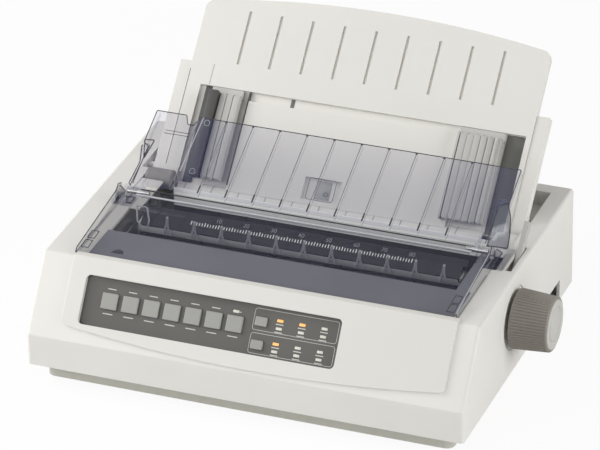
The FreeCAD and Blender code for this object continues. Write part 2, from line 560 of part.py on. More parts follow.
def case_pieces():
    """The lower tray, the upper shell, the feet and the case screws."""
    boss_places = [(side, y) for side in (-BOSS_X, BOSS_X) for y in (D.boss_front_y, D.boss_rear_y)]
    inner = D.shell_wall
    inner_band = D.band_top - inner * (SLOPE_LENGTH - SLOPE_RISE) / D.slope_top_y
    inner_slope_y = D.slope_top_y + inner * (SLOPE_LENGTH - D.slope_top_y) / SLOPE_RISE
    deep = D.shell_low - D.overrun

    shell = pad_body("shell_block", "YZ_Plane", [
        (0, D.shell_low), (0, D.band_top), (D.slope_top_y, D.cheek_front),
        (D.shell_depth, D.cheek_rear), (D.shell_depth, D.shell_low)], D.shell_width, True)
    side = HALF_WIDTH.number * (1 - EDGE_SHARE)
    low = D.shell_low.number * (1 + EDGE_SHARE)
    round_edges(shell, D.shell_round, lambda edge: all(
        abs(v.Point.x) > side for v in edge.Vertexes) and max(v.Point.z for v in edge.Vertexes) > low)

    hollow = prism("yz", inner - HALF_WIDTH, HALF_WIDTH - inner, [
        (inner, deep), (inner, inner_band), (inner_slope_y, D.cheek_front - inner),
        (D.shell_depth - inner, D.cheek_rear - inner), (D.shell_depth - inner, deep)])
    skirt_low = D.cheek_front - D.bay_skirt
    high = D.cheek_rear + D.overrun
    ring = cut(box((BAY_LEFT - inner, D.bay_front - inner, skirt_low),
                   (BAY_RIGHT + inner, D.bay_rear + inner, high)),
               box((BAY_LEFT, D.bay_front, deep), (BAY_RIGHT, D.bay_rear, high + D.overrun)))
    lever_pin = rod("x", BAY_RIGHT + inner, HALF_WIDTH, D.lever_pin,
                    (D.lever_pivot_y, D.lever_pivot_z))
    bosses = [rod("z", FLANGE_TOP, high, D.boss_radius, place) for place in boss_places]
    hollow = cut(hollow, ring, lever_pin, *bosses)

    pivot_y, pivot_z = pivot_place()
    collar = D.collar_wall + D.case_gap
    tools = [
        hollow,
        prism("xy", skirt_low - D.overrun, high, [
            (BAY_LEFT + D.shelf_left, D.bay_front), (BAY_RIGHT - D.shelf_right, D.bay_front),
            (BAY_RIGHT - D.shelf_right, D.shelf_rear), (BAY_RIGHT - D.strip_right, D.shelf_rear),
            (BAY_RIGHT - D.strip_right, D.strip_rear), (BAY_RIGHT, D.strip_rear),
            (BAY_RIGHT, D.bay_rear), (BAY_LEFT, D.bay_rear), (BAY_LEFT, D.strip_rear),
            (BAY_LEFT + D.strip_left, D.strip_rear), (BAY_LEFT + D.strip_left, D.shelf_rear),
            (BAY_LEFT + D.shelf_left, D.shelf_rear)]),
        slope_box((-D.window_left - collar, D.window_low - collar, -D.window_cut),
                  (D.window_right + collar, D.window_high + collar, inner)),
        rod("x", HALF_WIDTH - inner - D.overrun, HALF_WIDTH + D.overrun, D.shaft_hole, PLATEN),
        rod("x", HALF_WIDTH - D.knob_recess_deep, HALF_WIDTH + D.overrun, D.knob_recess, PLATEN),
        box((HALF_WIDTH - inner - D.overrun, D.recess_front, deep),
            (HALF_WIDTH + D.overrun, D.recess_rear, D.recess_high)),
        box((D.lever_x - D.lever_thick / 2 - D.slot_gap, D.slot_front, skirt_low),
            (D.lever_x + D.lever_thick / 2 + D.slot_gap, D.slot_rear, high)),
        box((D.socket_left - D.case_gap, D.bay_rear + inner + D.overrun / 2, card_top() - D.case_gap),
            (D.socket_right + D.case_gap, D.shell_depth + D.overrun,
             card_top() + D.socket_high + D.case_gap)),
        box((D.inlet_left - D.case_gap, D.bay_rear + inner + D.overrun / 2, D.inlet_low - D.case_gap),
            (D.inlet_right + D.case_gap, D.shell_depth + D.overrun, D.inlet_high + D.case_gap)),
        rod("x", BAY_LEFT - inner - D.touch_gap, BAY_RIGHT + inner + D.touch_gap,
            D.pivot_pin + D.pin_gap, (pivot_y, pivot_z)),
    ]
    for place in boss_places:
        tools.append(rod("z", deep, FLANGE_TOP + D.screw_bite, D.screw_radius, place))
    for index in range(int(D.vent_count.number)):
        start = D.vent_start + D.vent_pitch * index
        tools.append(box((start, D.shell_depth - inner - D.case_gap, D.vent_low),
                         (start + D.vent_width, D.shell_depth + D.overrun, D.vent_high)))
    node("upper_shell", cut(shell, *tools))

    edge = HALF_WIDTH - D.base_side_inset
    rear = D.shell_depth - D.base_rear_inset
    wall = D.base_wall
    pedestal = pad_body("pedestal", "XY_Plane", rectangle(-edge, D.base_front_inset, edge, rear),
                        FLANGE_TOP - D.foot_height)
    round_edges(pedestal, D.base_round, lambda item: along_axis(item, "z"))
    bind(pedestal, "Placement.Base.z", D.foot_height)
    rim = HALF_WIDTH - inner - D.case_gap
    flange = box((-rim, inner + D.case_gap, D.shell_low),
                 (rim, D.shell_depth - inner - D.case_gap, FLANGE_TOP))
    room = box((-edge + wall, D.base_front_inset + wall, FLOOR_TOP),
               (edge - wall, rear - wall, FLANGE_TOP + D.overrun))
    tray_left = FRAME_LEFT - D.tray_spread
    tray_right = FRAME_RIGHT + D.tray_spread
    posts = [rod("z", D.foot_height + wall / 2, TRAY_LOW, D.standoff_radius, (x, y))
             for x in (tray_left + D.standoff_inset, tray_right - D.standoff_inset)
             for y in (D.tray_front + D.standoff_inset, D.tray_rear - D.standoff_inset)]
    posts += [rod("z", D.foot_height + wall / 2, FLOOR_TOP + D.card_rise, D.card_post, (x, y))
              for x in (D.card_left + D.card_post_inset, D.card_right - D.card_post_inset)
              for y in (D.card_front + D.card_post_inset, D.card_rear - D.card_post_inset)]
    screw_holes = [rod("z", D.foot_height, high, D.screw_radius + D.pin_gap, place)
                   for place in boss_places]
    tray = cut(join(pedestal, flange), room, *screw_holes)
    node("lower_case", join(tray, *posts))

    foot_x = HALF_WIDTH - D.foot_inset_x
    feet = [rod("z", as_size(0), D.foot_height, D.foot_radius, (x, y))
            for x in (-foot_x, foot_x) for y in (D.foot_inset_y, D.shell_depth - D.foot_inset_y)]
    node("rubber_feet", feet)

    screws = [join(rod("z", D.shell_low, FLANGE_TOP + D.screw_bite, D.screw_radius, place),
                   rod("z", D.shell_low - D.screw_head_high, D.shell_low, D.screw_head_radius, place))
              for place in boss_places]
    node("case_screws", screws)


def pivot_place():
    """Where the separator's two pins sit, in the case frame: a drop below its back face."""
    return (D.separator_y + D.pivot_drop * SEPARATOR_SINE,
            D.separator_z - D.pivot_drop * SEPARATOR_COSINE)


def card_top():
    return FLOOR_TOP + D.card_rise + D.card_thick


def panel_pieces():
    """The raised bezel, the recessed dark panel, its lights, buttons and the board behind."""
    thick = D.bezel_thick
    plate = pad_body("bezel_plate", "XY_Plane", [
        (-D.bezel_left, D.bezel_low_side, D.bezel_bow), (D.bezel_right, D.bezel_low_side),
        (D.bezel_right, SLOPE_LENGTH), (-D.bezel_left, SLOPE_LENGTH)], thick)
    add_step(plate, "XY_Plane", rectangle(-D.window_left, D.window_low, D.window_right,
                                          D.window_high), as_size(0), thick, "PartDesign::Pocket")
    round_edges(plate, D.bezel_round, lambda item: along_axis(item, "z") and (
        item.Vertexes[0].Point.y < SLOPE_LENGTH.number * (1 - EDGE_SHARE)))
    wall = D.collar_wall
    collar = cut(box((-D.window_left - wall, D.window_low - wall, -D.collar_depth),
                     (D.window_right + wall, D.window_high + wall, as_size(0))),
                 box((-D.window_left, D.window_low, -D.collar_depth - wall),
                     (D.window_right, D.window_high, wall)))
    lip_end = D.slope_top_y + D.bezel_lip
    lip = prism("yz", -D.bezel_left, D.bezel_right, [
        (D.slope_top_y, D.cheek_front),
        (D.slope_top_y - thick * SLOPE_SINE, D.cheek_front + thick * SLOPE_COSINE),
        (D.slope_top_y - thick * (SLOPE_LENGTH - D.slope_top_y) / SLOPE_RISE, D.cheek_front + thick),
        (lip_end, top_at(lip_end) + thick), (lip_end, top_at(lip_end))])
    face = join(plate, collar)
    face.Placement = FreeCAD.Placement(FreeCAD.Vector(), FreeCAD.Rotation(FreeCAD.Vector(1, 0, 0), 1))
    bind(face, "Placement.Rotation.Angle", SLOPE_ANGLE)
    bind(face, "Placement.Base.z", D.band_top)
    node("control_bezel", join(face, lip))

    top = -D.collar_depth
    under = top - D.plate_thick
    buttons = [("button_" + str(index + 1), D.button_first + D.button_pitch * index,
                D.button_row, D.button_wide, D.button_tall) for index in range(7)]
    buttons.append(("print_quality_button", D.small_x, D.small_upper, D.small_wide, D.small_tall))
    buttons.append(("character_pitch_button", D.small_x, D.small_lower, D.small_wide, D.small_tall))
    plate_points = rectangle(-D.window_left - wall, D.window_low - wall, D.window_right + wall,
                             D.window_high + wall)
    plate = pad_body("panel_plate_pad", "XY_Plane", plate_points, D.plate_thick)
    bind(plate, "Placement.Base.z", under)
    gap = D.button_gap
    holes = [box((x - wide / 2 - gap, row - tall / 2 - gap, under - gap),
                 (x + wide / 2 + gap, row + tall / 2 + gap, top + gap))
             for name, x, row, wide, tall in buttons]
    slope_node("control_panel", cut(plate, *holes))

    lights = [(D.light_first + D.light_pitch * column, row) for column in range(3)
              for row in (D.light_row_a, D.light_row_b, D.light_row_c, D.light_row_d)]
    lights.append((D.single_light_x, D.single_light_row))
    slope_node("panel_lights", [
        box((x - D.light_wide / 2, row - D.light_tall / 2, top),
            (x + D.light_wide / 2, row + D.light_tall / 2, top + D.light_high))
        for x, row in lights])

    rim_top = under - D.touch_gap
    rim_low = rim_top - D.button_rim_thick
    for name, x, row, wide, tall in buttons:
        cap = pad_body(name + "_cap", "XY_Plane", rectangle(-wide / 2, -tall / 2, wide / 2, tall / 2),
                       top + D.button_proud - rim_low)
        upper = (top + D.button_proud - rim_low).number * (1 - EDGE_SHARE)
        round_edges(cap, D.button_edge, lambda item: (
            min(v.Point.z for v in item.Vertexes) > upper or along_axis(item, "z")))
        bind_base(cap, (x, row, rim_low))
        across = wide / 2 + D.button_rim
        along = tall / 2 + D.button_rim
        rim = box((x - across, row - along, rim_low), (x + across, row + along,
                                                       rim_low + D.button_rim_thick))
        stem = rod("z", rim_low - D.button_stem_long, rim_low, D.button_stem, (x, row))
        slope_node(name, join(cap, rim, stem))

    board_top = under - D.board_drop
    board_low = board_top - D.board_thick
    inset = D.post_inset
    board = box((-D.window_left, D.window_low - wall, board_low),
                (D.window_right, D.window_high, board_top))
    posts = [rod("z", board_top, under, D.post_radius, (x, row))
             for x in (inset - D.window_left, D.window_right - inset)
             for row in (D.window_low + inset, D.window_high - inset)]
    half = D.switch_side / 2
    switches = [box((x - half, row - half, board_top), (x + half, row + half,
                                                        board_top + D.switch_high))
                for name, x, row, wide, tall in buttons]
    slope_node("panel_board", [join(board, *posts)] + switches)


def frame_pieces():
    """The steel tray, the two side frames, the guide rod, the rail and the platen bushes."""
    plate = box((FRAME_LEFT - D.tray_spread, D.tray_front, TRAY_LOW),
                (FRAME_RIGHT + D.tray_spread, D.tray_rear, TRAY_TOP))
    idle = (PULLEY_RIGHT, D.pulley_y)
    post = rod("z", TRAY_TOP, D.pulley_low - D.touch_gap, D.pulley_radius, idle)
    stud = rod("z", TRAY_TOP, D.pulley_low + D.pulley_high + D.touch_gap, D.pinion_shaft, idle)
    node("mechanism_tray", join(plate, post, stud))
    points = [
        (D.tray_front, TRAY_TOP), (D.tray_rear, TRAY_TOP), (D.tray_rear, D.frame_rear_high),
        (D.frame_top_rear, D.frame_top), (D.frame_top_front, D.frame_top),
        (D.frame_step_y, D.frame_step_high), (D.tray_front, D.frame_front_high)]
    pivot = (D.bail_pivot_y, D.bail_pivot_z)
    idler, pinion = gear_places()
    for name, inner, sign in (("side_frame_left", FRAME_LEFT, -1), ("side_frame_right", FRAME_RIGHT, 1)):
        outer = inner + D.frame_thick * sign
        start, end = (outer, inner) if sign < 0 else (inner, outer)
        plate = prism("yz", start, end, points)
        holes = [rod("x", start - D.overrun, end + D.overrun, D.bush_radius, PLATEN),
                 rod("x", start - D.overrun, end + D.overrun, D.rod_radius, ROD)]
        if sign < 0:
            holes.append(rod("x", start - D.overrun, end + D.overrun, D.motor_hole, pinion))
        bail_end = inner - (D.bail_arm_in + D.bail_arm_thick + D.touch_gap) * sign
        bail_pin = rod("x", *((inner, bail_end) if sign < 0 else (bail_end, inner)), D.bail_pin, pivot)
        extras = [bail_pin]
        if sign < 0:
            stud_end = outer - D.gear_gap - D.gear_thick - D.touch_gap
            extras.append(rod("x", stud_end, outer, D.stud_radius, idler))
        node(name, join(cut(plate, *holes), *extras))

    node("guide_rod", rod("x", FRAME_LEFT - D.frame_thick - D.touch_gap * 2 - D.gap_lever_thick,
                          FRAME_RIGHT + D.frame_thick, D.rod_radius, ROD))
    rail_top = D.carriage_low - D.slide_gap
    node("front_rail", box((FRAME_LEFT, D.rail_front, rail_top - D.rail_high),
                           (FRAME_RIGHT, D.rail_front + D.rail_wide, rail_top)))
    bushes = []
    for inner, sign in ((FRAME_LEFT, 1), (FRAME_RIGHT, -1)):
        outer = inner - (D.frame_thick + D.bush_proud) * sign
        flange = inner + D.bush_flange_thick * sign
        barrel = (outer, flange) if sign > 0 else (flange, outer)
        disc = (inner, flange) if sign > 0 else (flange, inner)
        bushes.append(cut(
            join(rod("x", *barrel, D.bush_radius, PLATEN), rod("x", *disc, D.bush_flange, PLATEN)),
            rod("x", barrel[0] - D.overrun, barrel[1] + D.overrun, D.roll_shaft + D.pin_gap, PLATEN)))
    node("platen_bushes", bushes)


def gear_places():
    """Centres of the idler gear and of the motor pinion, one pitch distance apart each."""
    first = D.tooth_module * (D.platen_teeth + D.idler_teeth) / 2
    second = D.tooth_module * (D.idler_teeth + D.pinion_teeth) / 2
    idler = (D.platen_y + first * cosine(D.idler_direction),
             D.platen_z + first * sine(D.idler_direction))
    pinion = (idler[0] + second * cosine(D.pinion_direction),
              idler[1] + second * sine(D.pinion_direction))
    return idler, pinion


TOOTH_ROOT_SHARE = 1.2
TOOTH_TIP_SHARE = 0.85
TOOTH_ROOT_WIDTH_SHARE = 0.6
TOOTH_TIP_WIDTH_SHARE = 0.3


def gear(name, teeth, centre, bore, phase):
    """A spur gear with straight-flanked teeth, lying in a plane square to x.

    The phase is where the first tooth points, in degrees from +y towards +z.
    """
    pitch_radius = D.tooth_module * teeth / 2
    root_radius = pitch_radius - D.tooth_module * TOOTH_ROOT_SHARE
    tip_radius = pitch_radius + D.tooth_module * TOOTH_TIP_SHARE
    pitch = D.tooth_module * math.pi
    low = (pitch * TOOTH_ROOT_WIDTH_SHARE - D.gear_backlash) / 2
    high = (pitch * TOOTH_TIP_WIDTH_SHARE - D.gear_backlash) / 2
    inside = root_radius - D.tooth_module / 2
    start = FRAME_LEFT - D.frame_thick - D.gear_gap - D.gear_thick
    body = doc.addObject("PartDesign::Body", name + "_body")
    plane = [item for item in body.Origin.OriginFeatures if item.Role == "XY_Plane"][0]
    disc = body.newObject("Sketcher::SketchObject", name + "_disc")
    disc.AttachmentSupport = [(plane, "")]
    disc.MapMode = "FlatFace"
    for index, radius in enumerate((root_radius, bore)):
        disc.addGeometry(Part.Circle(FreeCAD.Vector(), FreeCAD.Vector(0, 0, 1), radius.number), False)
        disc.addConstraint(Sketcher.Constraint("Coincident", index, 3, -1, 1))
        held = disc.addConstraint(Sketcher.Constraint("Radius", index, radius.number))
        disc.setExpression("Constraints[" + str(held) + "]", radius.words)
    pad = body.newObject("PartDesign::Pad", name + "_pad")
    pad.Profile = disc
    bind(pad, "Length", D.gear_thick)
    tooth = body.newObject("Sketcher::SketchObject", name + "_tooth")
    tooth.AttachmentSupport = [(plane, "")]
    tooth.MapMode = "FlatFace"
    draw(tooth, [(inside, -low), (root_radius, -low), (tip_radius, -high), (tip_radius, high),
                 (root_radius, low), (inside, low)])
    tooth_pad = body.newObject("PartDesign::Pad", name + "_tooth_pad")
    tooth_pad.Profile = tooth
    bind(tooth_pad, "Length", D.gear_thick)
    doc.recompute()
    pattern = body.newObject("PartDesign::PolarPattern", name + "_teeth")
    pattern.Originals = [tooth_pad]
    pattern.Axis = (disc, ["N_Axis"])
    pattern.Angle = 360
    bind(pattern, "Occurrences", teeth)
    body.Tip = pattern
    doc.recompute()
    turn = FreeCAD.Rotation(FreeCAD.Vector(1, 1, 1), 120)
    body.Placement = FreeCAD.Placement(
        FreeCAD.Vector(), turn.multiply(FreeCAD.Rotation(FreeCAD.Vector(0, 0, 1), phase)))
    bind_base(body, (start, centre[0], centre[1]))
    return body


def platen_pieces():
    """The platen roller with its knob, gears, motor and the curved paper pan below it."""
    left = D.works_middle - D.roll_half
    right = D.works_middle + D.roll_half
    knob_start = HALF_WIDTH + D.knob_gap
    knob_end = knob_start + D.knob_length
    gear_start = FRAME_LEFT - D.frame_thick - D.gear_gap - D.gear_thick
    wall = D.roll_core_wall
    shaft = rod("x", gear_start, knob_end - D.knob_cap_thick - D.knob_wall, D.roll_shaft, PLATEN)
    drum = cut(rod("x", left, right, D.roll_core, PLATEN),
               rod("x", left + wall * 2, right - wall * 2, D.roll_core - wall, PLATEN))
    node("platen_core", join(drum, shaft))
    node("platen_rubber", cut(rod("x", left, right, D.roll_radius, PLATEN),
                              rod("x", left - D.overrun, right + D.overrun, D.roll_core, PLATEN)))

    body_end = knob_end - D.knob_cap_proud
    knob = taper(knob_start, body_end, D.knob_radius, D.knob_tip_radius, PLATEN)
    web = knob_end - D.knob_cap_thick - D.knob_wall
    hollow = cut(rod("x", knob_start - D.overrun, web, D.knob_tip_radius - D.knob_wall, PLATEN),
                 rod("x", knob_start - D.overrun, web + D.overrun, D.knob_hub, PLATEN))
    seat = rod("x", knob_end - D.knob_cap_thick, knob_end + D.overrun, D.knob_cap_radius, PLATEN)
    bore = rod("x", knob_start - D.overrun, web, D.roll_shaft, PLATEN)
    node("platen_knob", cut(knob, hollow, seat, bore))
    cap = cut(rod("x", knob_end - D.knob_cap_thick, knob_end, D.knob_cap_radius, PLATEN),
              cut(rod("x", knob_end - D.knob_cap_proud, knob_end + D.overrun,
                      D.knob_cap_ring + D.knob_cap_proud, PLATEN),
                  rod("x", knob_end - D.knob_cap_proud * 2, knob_end + D.overrun * 2,
                      D.knob_cap_ring, PLATEN)))
    node("knob_cap", cap)

    idler, pinion = gear_places()
    first_way = D.idler_direction.number
    second_way = D.pinion_direction.number
    idler_pitch = 360 / D.idler_teeth.number
    pinion_pitch = 360 / D.pinion_teeth.number
    idler_phase = first_way + 180 + idler_pitch / 2
    turned = (second_way - idler_phase) / idler_pitch
    pinion_phase = second_way + 180 + pinion_pitch / 2 + (turned - round(turned)) * pinion_pitch
    node("platen_gear", gear("platen_gear", D.platen_teeth, PLATEN, D.roll_shaft, first_way))
    node("idler_gear", gear("idler_gear", D.idler_teeth, idler, D.stud_radius + D.pin_gap,
                            idler_phase))
    motor_face = FRAME_LEFT
    node("motor_pinion", join(
        gear("motor_pinion", D.pinion_teeth, pinion, D.pinion_shaft, pinion_phase),
        rod("x", gear_start, motor_face + D.shaft_depth, D.pinion_shaft, pinion)))
    node("line_feed_motor", cut(
        rod("x", motor_face, motor_face + D.feed_motor_long, D.feed_motor_radius, pinion),
        rod("x", motor_face - D.overrun, motor_face + D.shaft_depth + D.touch_gap,
            D.pinion_shaft + D.pin_gap, pinion)))

    inner = D.roll_radius + D.pan_gap
    outer = inner + D.pan_thick
    reach = outer * 2
    wedge = prism("yz", FRAME_LEFT, FRAME_RIGHT, [
        PLATEN,
        (D.platen_y + reach * cosine(D.pan_front_angle), D.platen_z + reach * sine(D.pan_front_angle)),
        (D.platen_y, D.platen_z - reach), (D.platen_y + reach, D.platen_z - reach),
        (D.platen_y + reach * cosine(D.pan_rear_angle), D.platen_z + reach * sine(D.pan_rear_angle))])
    tube = cut(rod("x", FRAME_LEFT, FRAME_RIGHT, outer, PLATEN),
               rod("x", FRAME_LEFT - D.overrun, FRAME_RIGHT + D.overrun, inner, PLATEN))
    node("paper_pan", overlap(tube, wedge))


def carriage_pieces():
    """The carriage, its print head and ribbon, and the belt drive that moves them."""
    middle = CARRIAGE_X
    low = D.carriage_low
    top = low + D.carriage_thick
    plate = box((middle - D.carriage_half, D.carriage_front, low),
                (middle + D.carriage_half, D.carriage_rear, top))
    hub = box((middle - D.hub_half, D.rod_y - D.hub_reach, D.rod_z - D.hub_reach),
              (middle + D.hub_half, D.rod_y + D.hub_reach, low))
    belt_low = D.pulley_low + D.pulley_flange_thick + D.touch_gap
    belt_near = D.pulley_y + D.pulley_radius + D.touch_gap
    belt_far = belt_near + D.belt_thick
    jaw_low = belt_low + D.touch_gap
    jaws = [box((middle - D.clip_half, start, jaw_low), (middle + D.clip_half, start + D.clip_thick, low))
            for start in (belt_near - D.touch_gap - D.clip_thick, belt_far + D.touch_gap)]
    head_top = top + D.head_high
    cheeks = [box((x, D.cheek_y, top), (x + D.cheek_thick, D.cheek_y + D.cheek_long, head_top))
              for x in (middle - D.carriage_half, middle + D.carriage_half - D.cheek_thick)]
    bore = rod("x", middle - D.hub_half - D.overrun, middle + D.hub_half + D.overrun,
               D.rod_radius + D.pin_gap, ROD)
    node("carriage", cut(join(plate, hub, *jaws, *cheeks), bore))

    head = box((middle - D.head_half, D.head_front, top),
               (middle + D.head_half, D.head_rear, head_top - D.touch_gap))
    fin_pitch = D.head_half * 2 / D.fin_count
    fins = [box((middle - D.head_half + fin_pitch * (index + 1) - D.fin_wide, D.head_front - D.overrun,
                 top + D.overrun),
                (middle - D.head_half + fin_pitch * (index + 1), D.head_front + D.fin_deep,
                 head_top + D.overrun)) for index in range(int(D.fin_count.number) - 1)]
    nose = box((middle - D.nose_half, D.head_rear, D.nose_low),
               (middle + D.nose_half, D.nose_tip, head_top - D.touch_gap))
    node("print_head", join(cut(head, *fins), nose))

    ribbon_top = head_top + D.cartridge_thick
    shell = box((middle - D.cartridge_half, D.cartridge_front, head_top),
                (middle + D.cartridge_half, D.cartridge_rear, ribbon_top))
    arms = [box((x, D.cartridge_rear, D.arm_low), (x + D.arm_wide, D.nose_tip, ribbon_top))
            for x in (middle - D.arm_near - D.arm_wide, middle + D.arm_near)]
    knob_place = (middle + D.ribbon_knob_x, D.ribbon_knob_y)
    hole = rod("z", ribbon_top - D.ribbon_pin_deep - D.touch_gap, ribbon_top + D.overrun,
               D.ribbon_pin + D.pin_gap, knob_place)
    node("ribbon_cartridge", cut(join(shell, *arms), hole))
    node("ribbon_knob", join(
        rod("z", ribbon_top - D.ribbon_pin_deep, ribbon_top + D.ribbon_knob_high, D.ribbon_pin, knob_place),
        rod("z", ribbon_top + D.touch_gap, ribbon_top + D.ribbon_knob_high, D.ribbon_knob_radius,
            knob_place)))

    motor_top = TRAY_TOP + D.space_motor_high
    drive = (PULLEY_LEFT, D.pulley_y)
    idle = (PULLEY_RIGHT, D.pulley_y)
    pulley_top = D.pulley_low + D.pulley_high
    node("carriage_motor", cut(
        rod("z", TRAY_TOP, motor_top, D.space_motor_radius, drive),
        rod("z", motor_top - D.shaft_depth - D.touch_gap, motor_top + D.overrun,
            D.pinion_shaft + D.pin_gap, drive)))
    node("drive_pulley", join(
        rod("z", motor_top - D.shaft_depth, pulley_top, D.pinion_shaft, drive), *pulley_rims(drive)))
    node("idler_pulley", cut(join(*pulley_rims(idle)),
                             rod("z", D.pulley_low - D.overrun, pulley_top + D.overrun,
                                 D.pinion_shaft + D.pin_gap, idle)))
    inner = D.pulley_radius + D.touch_gap
    outer = inner + D.belt_thick
    node("timing_belt", cut(belt_loop(outer, belt_low, belt_low + D.belt_high),
                            belt_loop(inner, belt_low - D.overrun, belt_low + D.belt_high + D.overrun)))

    lever_end = FRAME_LEFT - D.frame_thick - D.touch_gap
    lever_start = lever_end - D.gap_lever_thick
    half = D.gap_lever_wide / 2
    tip = D.rod_z + D.gap_lever_long
    handle = cut(join(
        rod("x", lever_start, lever_end, D.gap_lever_hub, ROD),
        box((lever_start, D.rod_y - half, D.rod_z), (lever_end, D.rod_y + half, tip)),
        rod("x", lever_start, lever_end, D.gap_lever_knob, (D.rod_y, tip))),
        rod("x", lever_start - D.overrun, lever_end + D.overrun, D.rod_radius + D.pin_gap, ROD))
    node("head_gap_lever", handle)


def pulley_rims(place):
    low = D.pulley_low
    high = low + D.pulley_high
    rim = D.pulley_flange_thick
    return [rod("z", low, high, D.pulley_radius, place), rod("z", low, low + rim, D.pulley_flange, place),
            rod("z", high - rim, high, D.pulley_flange, place)]


def belt_loop(radius, low, high):
    """The stadium that a belt of this radius encloses round the two pulleys."""
    return join(box((PULLEY_LEFT, D.pulley_y - radius, low), (PULLEY_RIGHT, D.pulley_y + radius, high)),
                rod("z", low, high, radius, (PULLEY_LEFT, D.pulley_y)),
                rod("z", low, high, radius, (PULLEY_RIGHT, D.pulley_y)))


def bail_pieces():
    """The paper bail: its bar with two arms, the rollers on it, and the column scale above."""
    bar_place = (D.bail_bar_y, D.bail_bar_z)
    thick = D.bail_arm_thick
    wide = D.bail_arm_wide
    left = FRAME_LEFT + D.bail_arm_in
    right = FRAME_RIGHT - D.bail_arm_in
    points = [
        (D.bail_bar_y - wide, D.bail_bar_z - wide / 2), (D.bail_pivot_y, D.bail_pivot_z - wide),
        (D.bail_pivot_y + wide, D.bail_pivot_z), (D.bail_pivot_y, D.bail_pivot_z + wide),
        (D.scale_y + wide, D.scale_z), (D.scale_y - wide, D.scale_z - wide / 2)]
    arms = []
    for start in (left, right - thick):
        plate = prism("yz", start, start + thick, points)
        hole = rod("x", start - D.overrun, start + thick + D.overrun, D.bail_pin + D.pin_gap,
                   (D.bail_pivot_y, D.bail_pivot_z))
        arms.append(cut(plate, hole))
    bar = rod("x", left, right, D.bail_bar_radius, bar_place)
    node("bail_bar", join(bar, *arms))

    rollers = []
    for index in range(4):
        centre = D.works_middle + D.bail_roller_pitch * (index - 1.5)
        start = centre - D.bail_roller_long / 2
        end = centre + D.bail_roller_long / 2
        rollers.append(cut(rod("x", start, end, D.bail_roller_radius, bar_place),
                           rod("x", start - D.overrun, end + D.overrun, D.bail_bar_radius, bar_place)))
    node("bail_rollers", rollers)
    half = D.scale_wide / 2
    node("column_scale", box((left + thick, -half, as_size(0)), (right - thick, half, D.scale_thick)),
         (0, D.scale_y, D.scale_z), D.scale_tilt)


def cover_frame(y, foot_half, top_half, top, foot, shrink):
    """A trapezoid across the front cover at one distance from the front."""
    return outline("xz", y, [
        (D.bay_middle - foot_half + shrink, foot), (D.bay_middle + foot_half - shrink, foot),
        (D.bay_middle + top_half - shrink, top), (D.bay_middle - top_half + shrink, top)])


